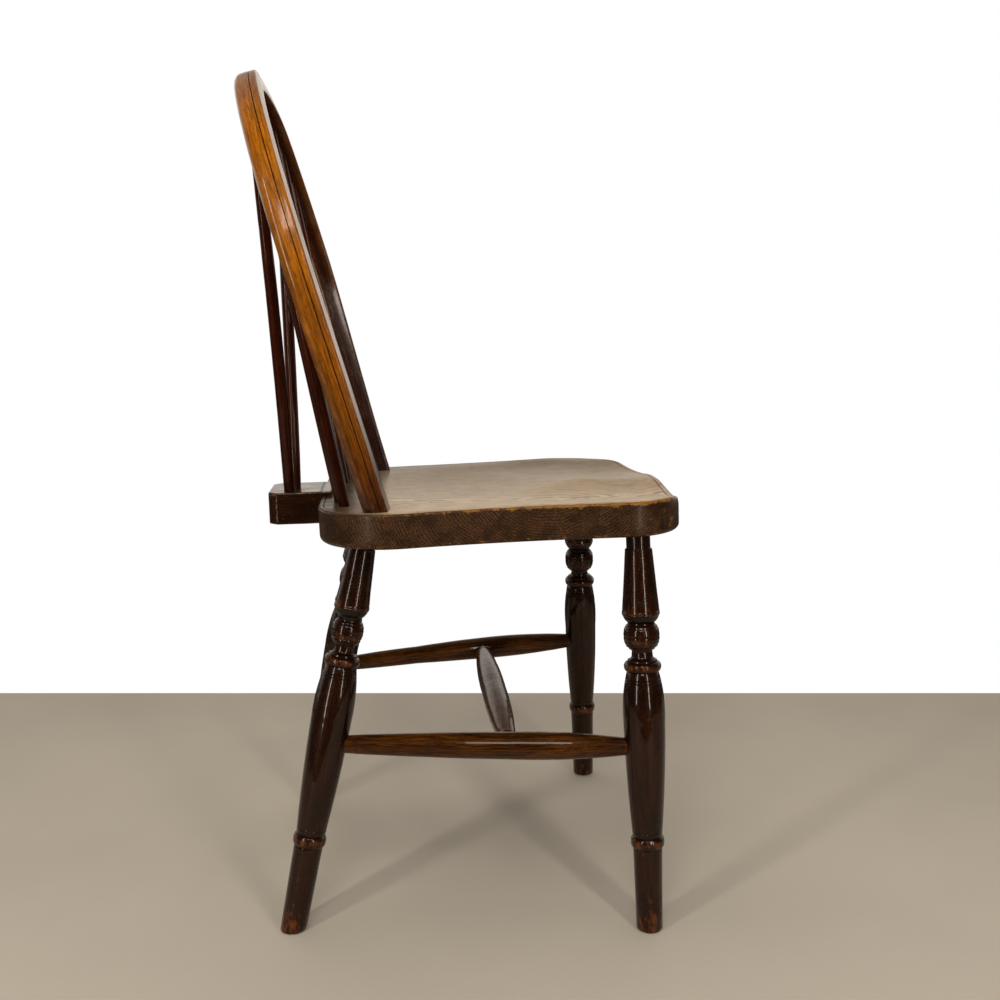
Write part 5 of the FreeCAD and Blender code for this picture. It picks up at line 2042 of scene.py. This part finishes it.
@dataclass
class Studio:
    """Pale floor, white surround, soft lamps and the camera beside the chair.

    The surround is the light that falls on the chair from all round. The polish mirrors a wall
    instead, which is bright behind the chair, dims overhead and ends below its foot.
    """

    floor_edge: float = 0.580
    floor_depth: float = 1.60
    floor_width: float = 2.80
    floor_turn: float = -0.1534
    floor_colour: Colour = (0.50, 0.42, 0.32, 1.0)
    floor_shade: float = 0.93
    floor_rough: float = 0.75
    surround: float = 0.28
    wall_tint: Colour = (1.0, 0.92, 0.82, 1.0)
    wall_bright: float = 0.96
    wall_dim: float = 0.06
    wall_side: tuple[float, float] = (0.0, 0.5)
    wall_foot: tuple[float, float] = (-0.08, 0.06)
    wall_head: tuple[float, float] = (0.2, 0.45)
    overhead: float = 0.3
    camera_place: Place = (-1.3203, 0.0782, 0.6432)
    camera_yaw: float = -0.092
    camera_pitch: float = 0.160
    camera_roll: float = -0.020
    focal_pixels: float = 1150.0
    frame_pixels: float = 1000.0
    sensor: float = 36.0
    lamps: Sequence[Lamp] = (
        Lamp("left_window", (-1.15, 1.05, 0.9), (-0.1, 0.05, 0.5), 0.10, 1.6, 9.5),
        Lamp("right_window", (-1.45, -0.62, 0.9), (-0.1, 0.0, 0.5), 0.10, 1.6, 9.5),
        Lamp("window_head", (-1.4, 0.16, 1.36), (-0.15, 0.05, 0.4), 0.5, 0.42, 6.0),
        Lamp("roof_light", (-1.4, 0.3, 2.3), (0, 0.15, 0.7), 0.6, 0.8, 6.0, mirrored=False),
        Lamp("ceiling_sheet", (0.7, 0.0, 2.6), (0, 0, 0.4), 2.4, 2.4, 23.0, mirrored=False),
    )

    def floor(self) -> None:
        """Lay the floor, which ends in a clean edge behind the chair as the backdrop begins."""
        bm = bmesh.new()
        bmesh.ops.create_grid(bm, x_segments=2, y_segments=2, size=1.0)
        bmesh.ops.scale(bm, vec=(self.floor_depth / 2, self.floor_width / 2, 1.0), verts=bm.verts)
        bmesh.ops.translate(bm, vec=(self.floor_edge - self.floor_depth / 2, 0, 0), verts=bm.verts)
        turn = Matrix.Rotation(self.floor_turn, 3, "Z")
        bmesh.ops.rotate(bm, cent=(0, 0, 0), matrix=turn, verts=bm.verts)
        mesh = bpy.data.meshes.new("floor")
        bm.to_mesh(mesh)
        bm.free()
        material = bpy.data.materials.new("pale_floor")
        material.use_nodes = True
        w = Wiring(material.node_tree)
        shader = material.node_tree.nodes["Principled BSDF"]
        veil = w.cloud(w.add("ShaderNodeTexCoord").outputs["Object"], (3.0, 3.0, 3.0), 4.0)
        dim = shaded(self.floor_colour, self.floor_shade)
        colour = w.blend(w.between(veil, 0.3, 0.7), self.floor_colour, dim)
        material.node_tree.links.new(colour, shader.inputs["Base Color"])
        shader.inputs["Roughness"].default_value = self.floor_rough
        mesh.materials.append(material)
        floor = add_object("studio_floor", mesh)

    def world(self) -> None:
        """Set a white surround for the camera and a softer one for the light."""
        world = bpy.data.worlds.new("surround")
        bpy.context.scene.world = world
        world.use_nodes = True
        world.node_tree.nodes.clear()
        w = Wiring(world.node_tree)
        rays = w.add("ShaderNodeLightPath").outputs
        glossy = rays["Is Glossy Ray"]
        seen = w.maths("MAXIMUM", rays["Is Camera Ray"], rays["Is Transmission Ray"])
        way = w.add("ShaderNodeTexCoord").outputs["Generated"]
        across, _, upward = w.add("ShaderNodeSeparateXYZ", {0: way}).outputs
        behind = w.between(across, *self.wall_side, 0.0, self.wall_bright)
        head = w.between(upward, *self.wall_head, 1.0, self.overhead)
        level = w.maths("MULTIPLY", w.between(upward, *self.wall_foot), head)
        wall = w.maths("ADD", w.maths("MULTIPLY", behind, level), self.wall_dim)
        dull = w.maths("SUBTRACT", 1.0, glossy)
        strength = w.maths("MAXIMUM", seen, w.maths(
            "ADD", w.maths("MULTIPLY", glossy, wall), w.maths("MULTIPLY", dull, self.surround)
        ))
        colour = w.blend(glossy, tone(1, 1, 1), self.wall_tint)
        light = w.add("ShaderNodeBackground", {"Color": colour, "Strength": strength})
        w.add("ShaderNodeOutputWorld", {"Surface": light.outputs[0]})

    def camera(self) -> None:
        """Stand the camera where the photograph was taken from."""
        yaw, pitch, roll = self.camera_yaw, self.camera_pitch, self.camera_roll
        ahead = Vector((math.cos(yaw) * math.cos(pitch), math.sin(yaw) * math.cos(pitch), -math.sin(pitch)))
        right = Vector((math.sin(yaw), -math.cos(yaw), 0))
        up = right.cross(ahead)
        rolled_right = right * math.cos(roll) + up * math.sin(roll)
        rolled_up = up * math.cos(roll) - right * math.sin(roll)
        data = bpy.data.cameras.new("camera")
        data.sensor_width = self.sensor
        data.lens = self.focal_pixels / self.frame_pixels * self.sensor
        camera = add_object("camera", data)
        turn = Matrix((rolled_right, rolled_up, -ahead)).transposed().to_4x4()
        camera.matrix_world = Matrix.Translation(self.camera_place) @ turn
        bpy.context.scene.camera = camera

    def build(self) -> None:
        """Build the whole studio."""
        bpy.context.scene.view_settings.view_transform = "Standard"
        self.floor()
        self.world()
        self.camera()
        for lamp in self.lamps:
            lamp.build()


def main() -> None:
    """Build the studio and every piece of the chair, in order."""
    logging.basicConfig(level=logging.INFO, format="%(name)s: %(message)s")
    Studio().build()
    shop = Workshop()
    legs = Legs(shop)
    legs.build()
    Stretchers(shop, legs).build()
    Sticks(shop).build()
    Splat(shop).build()
    Bow(shop).build()
    Bobtail(shop).build()
    Seat(shop).build()
    TenonEnds(shop).build()


if __name__ == "__main__":
    main()
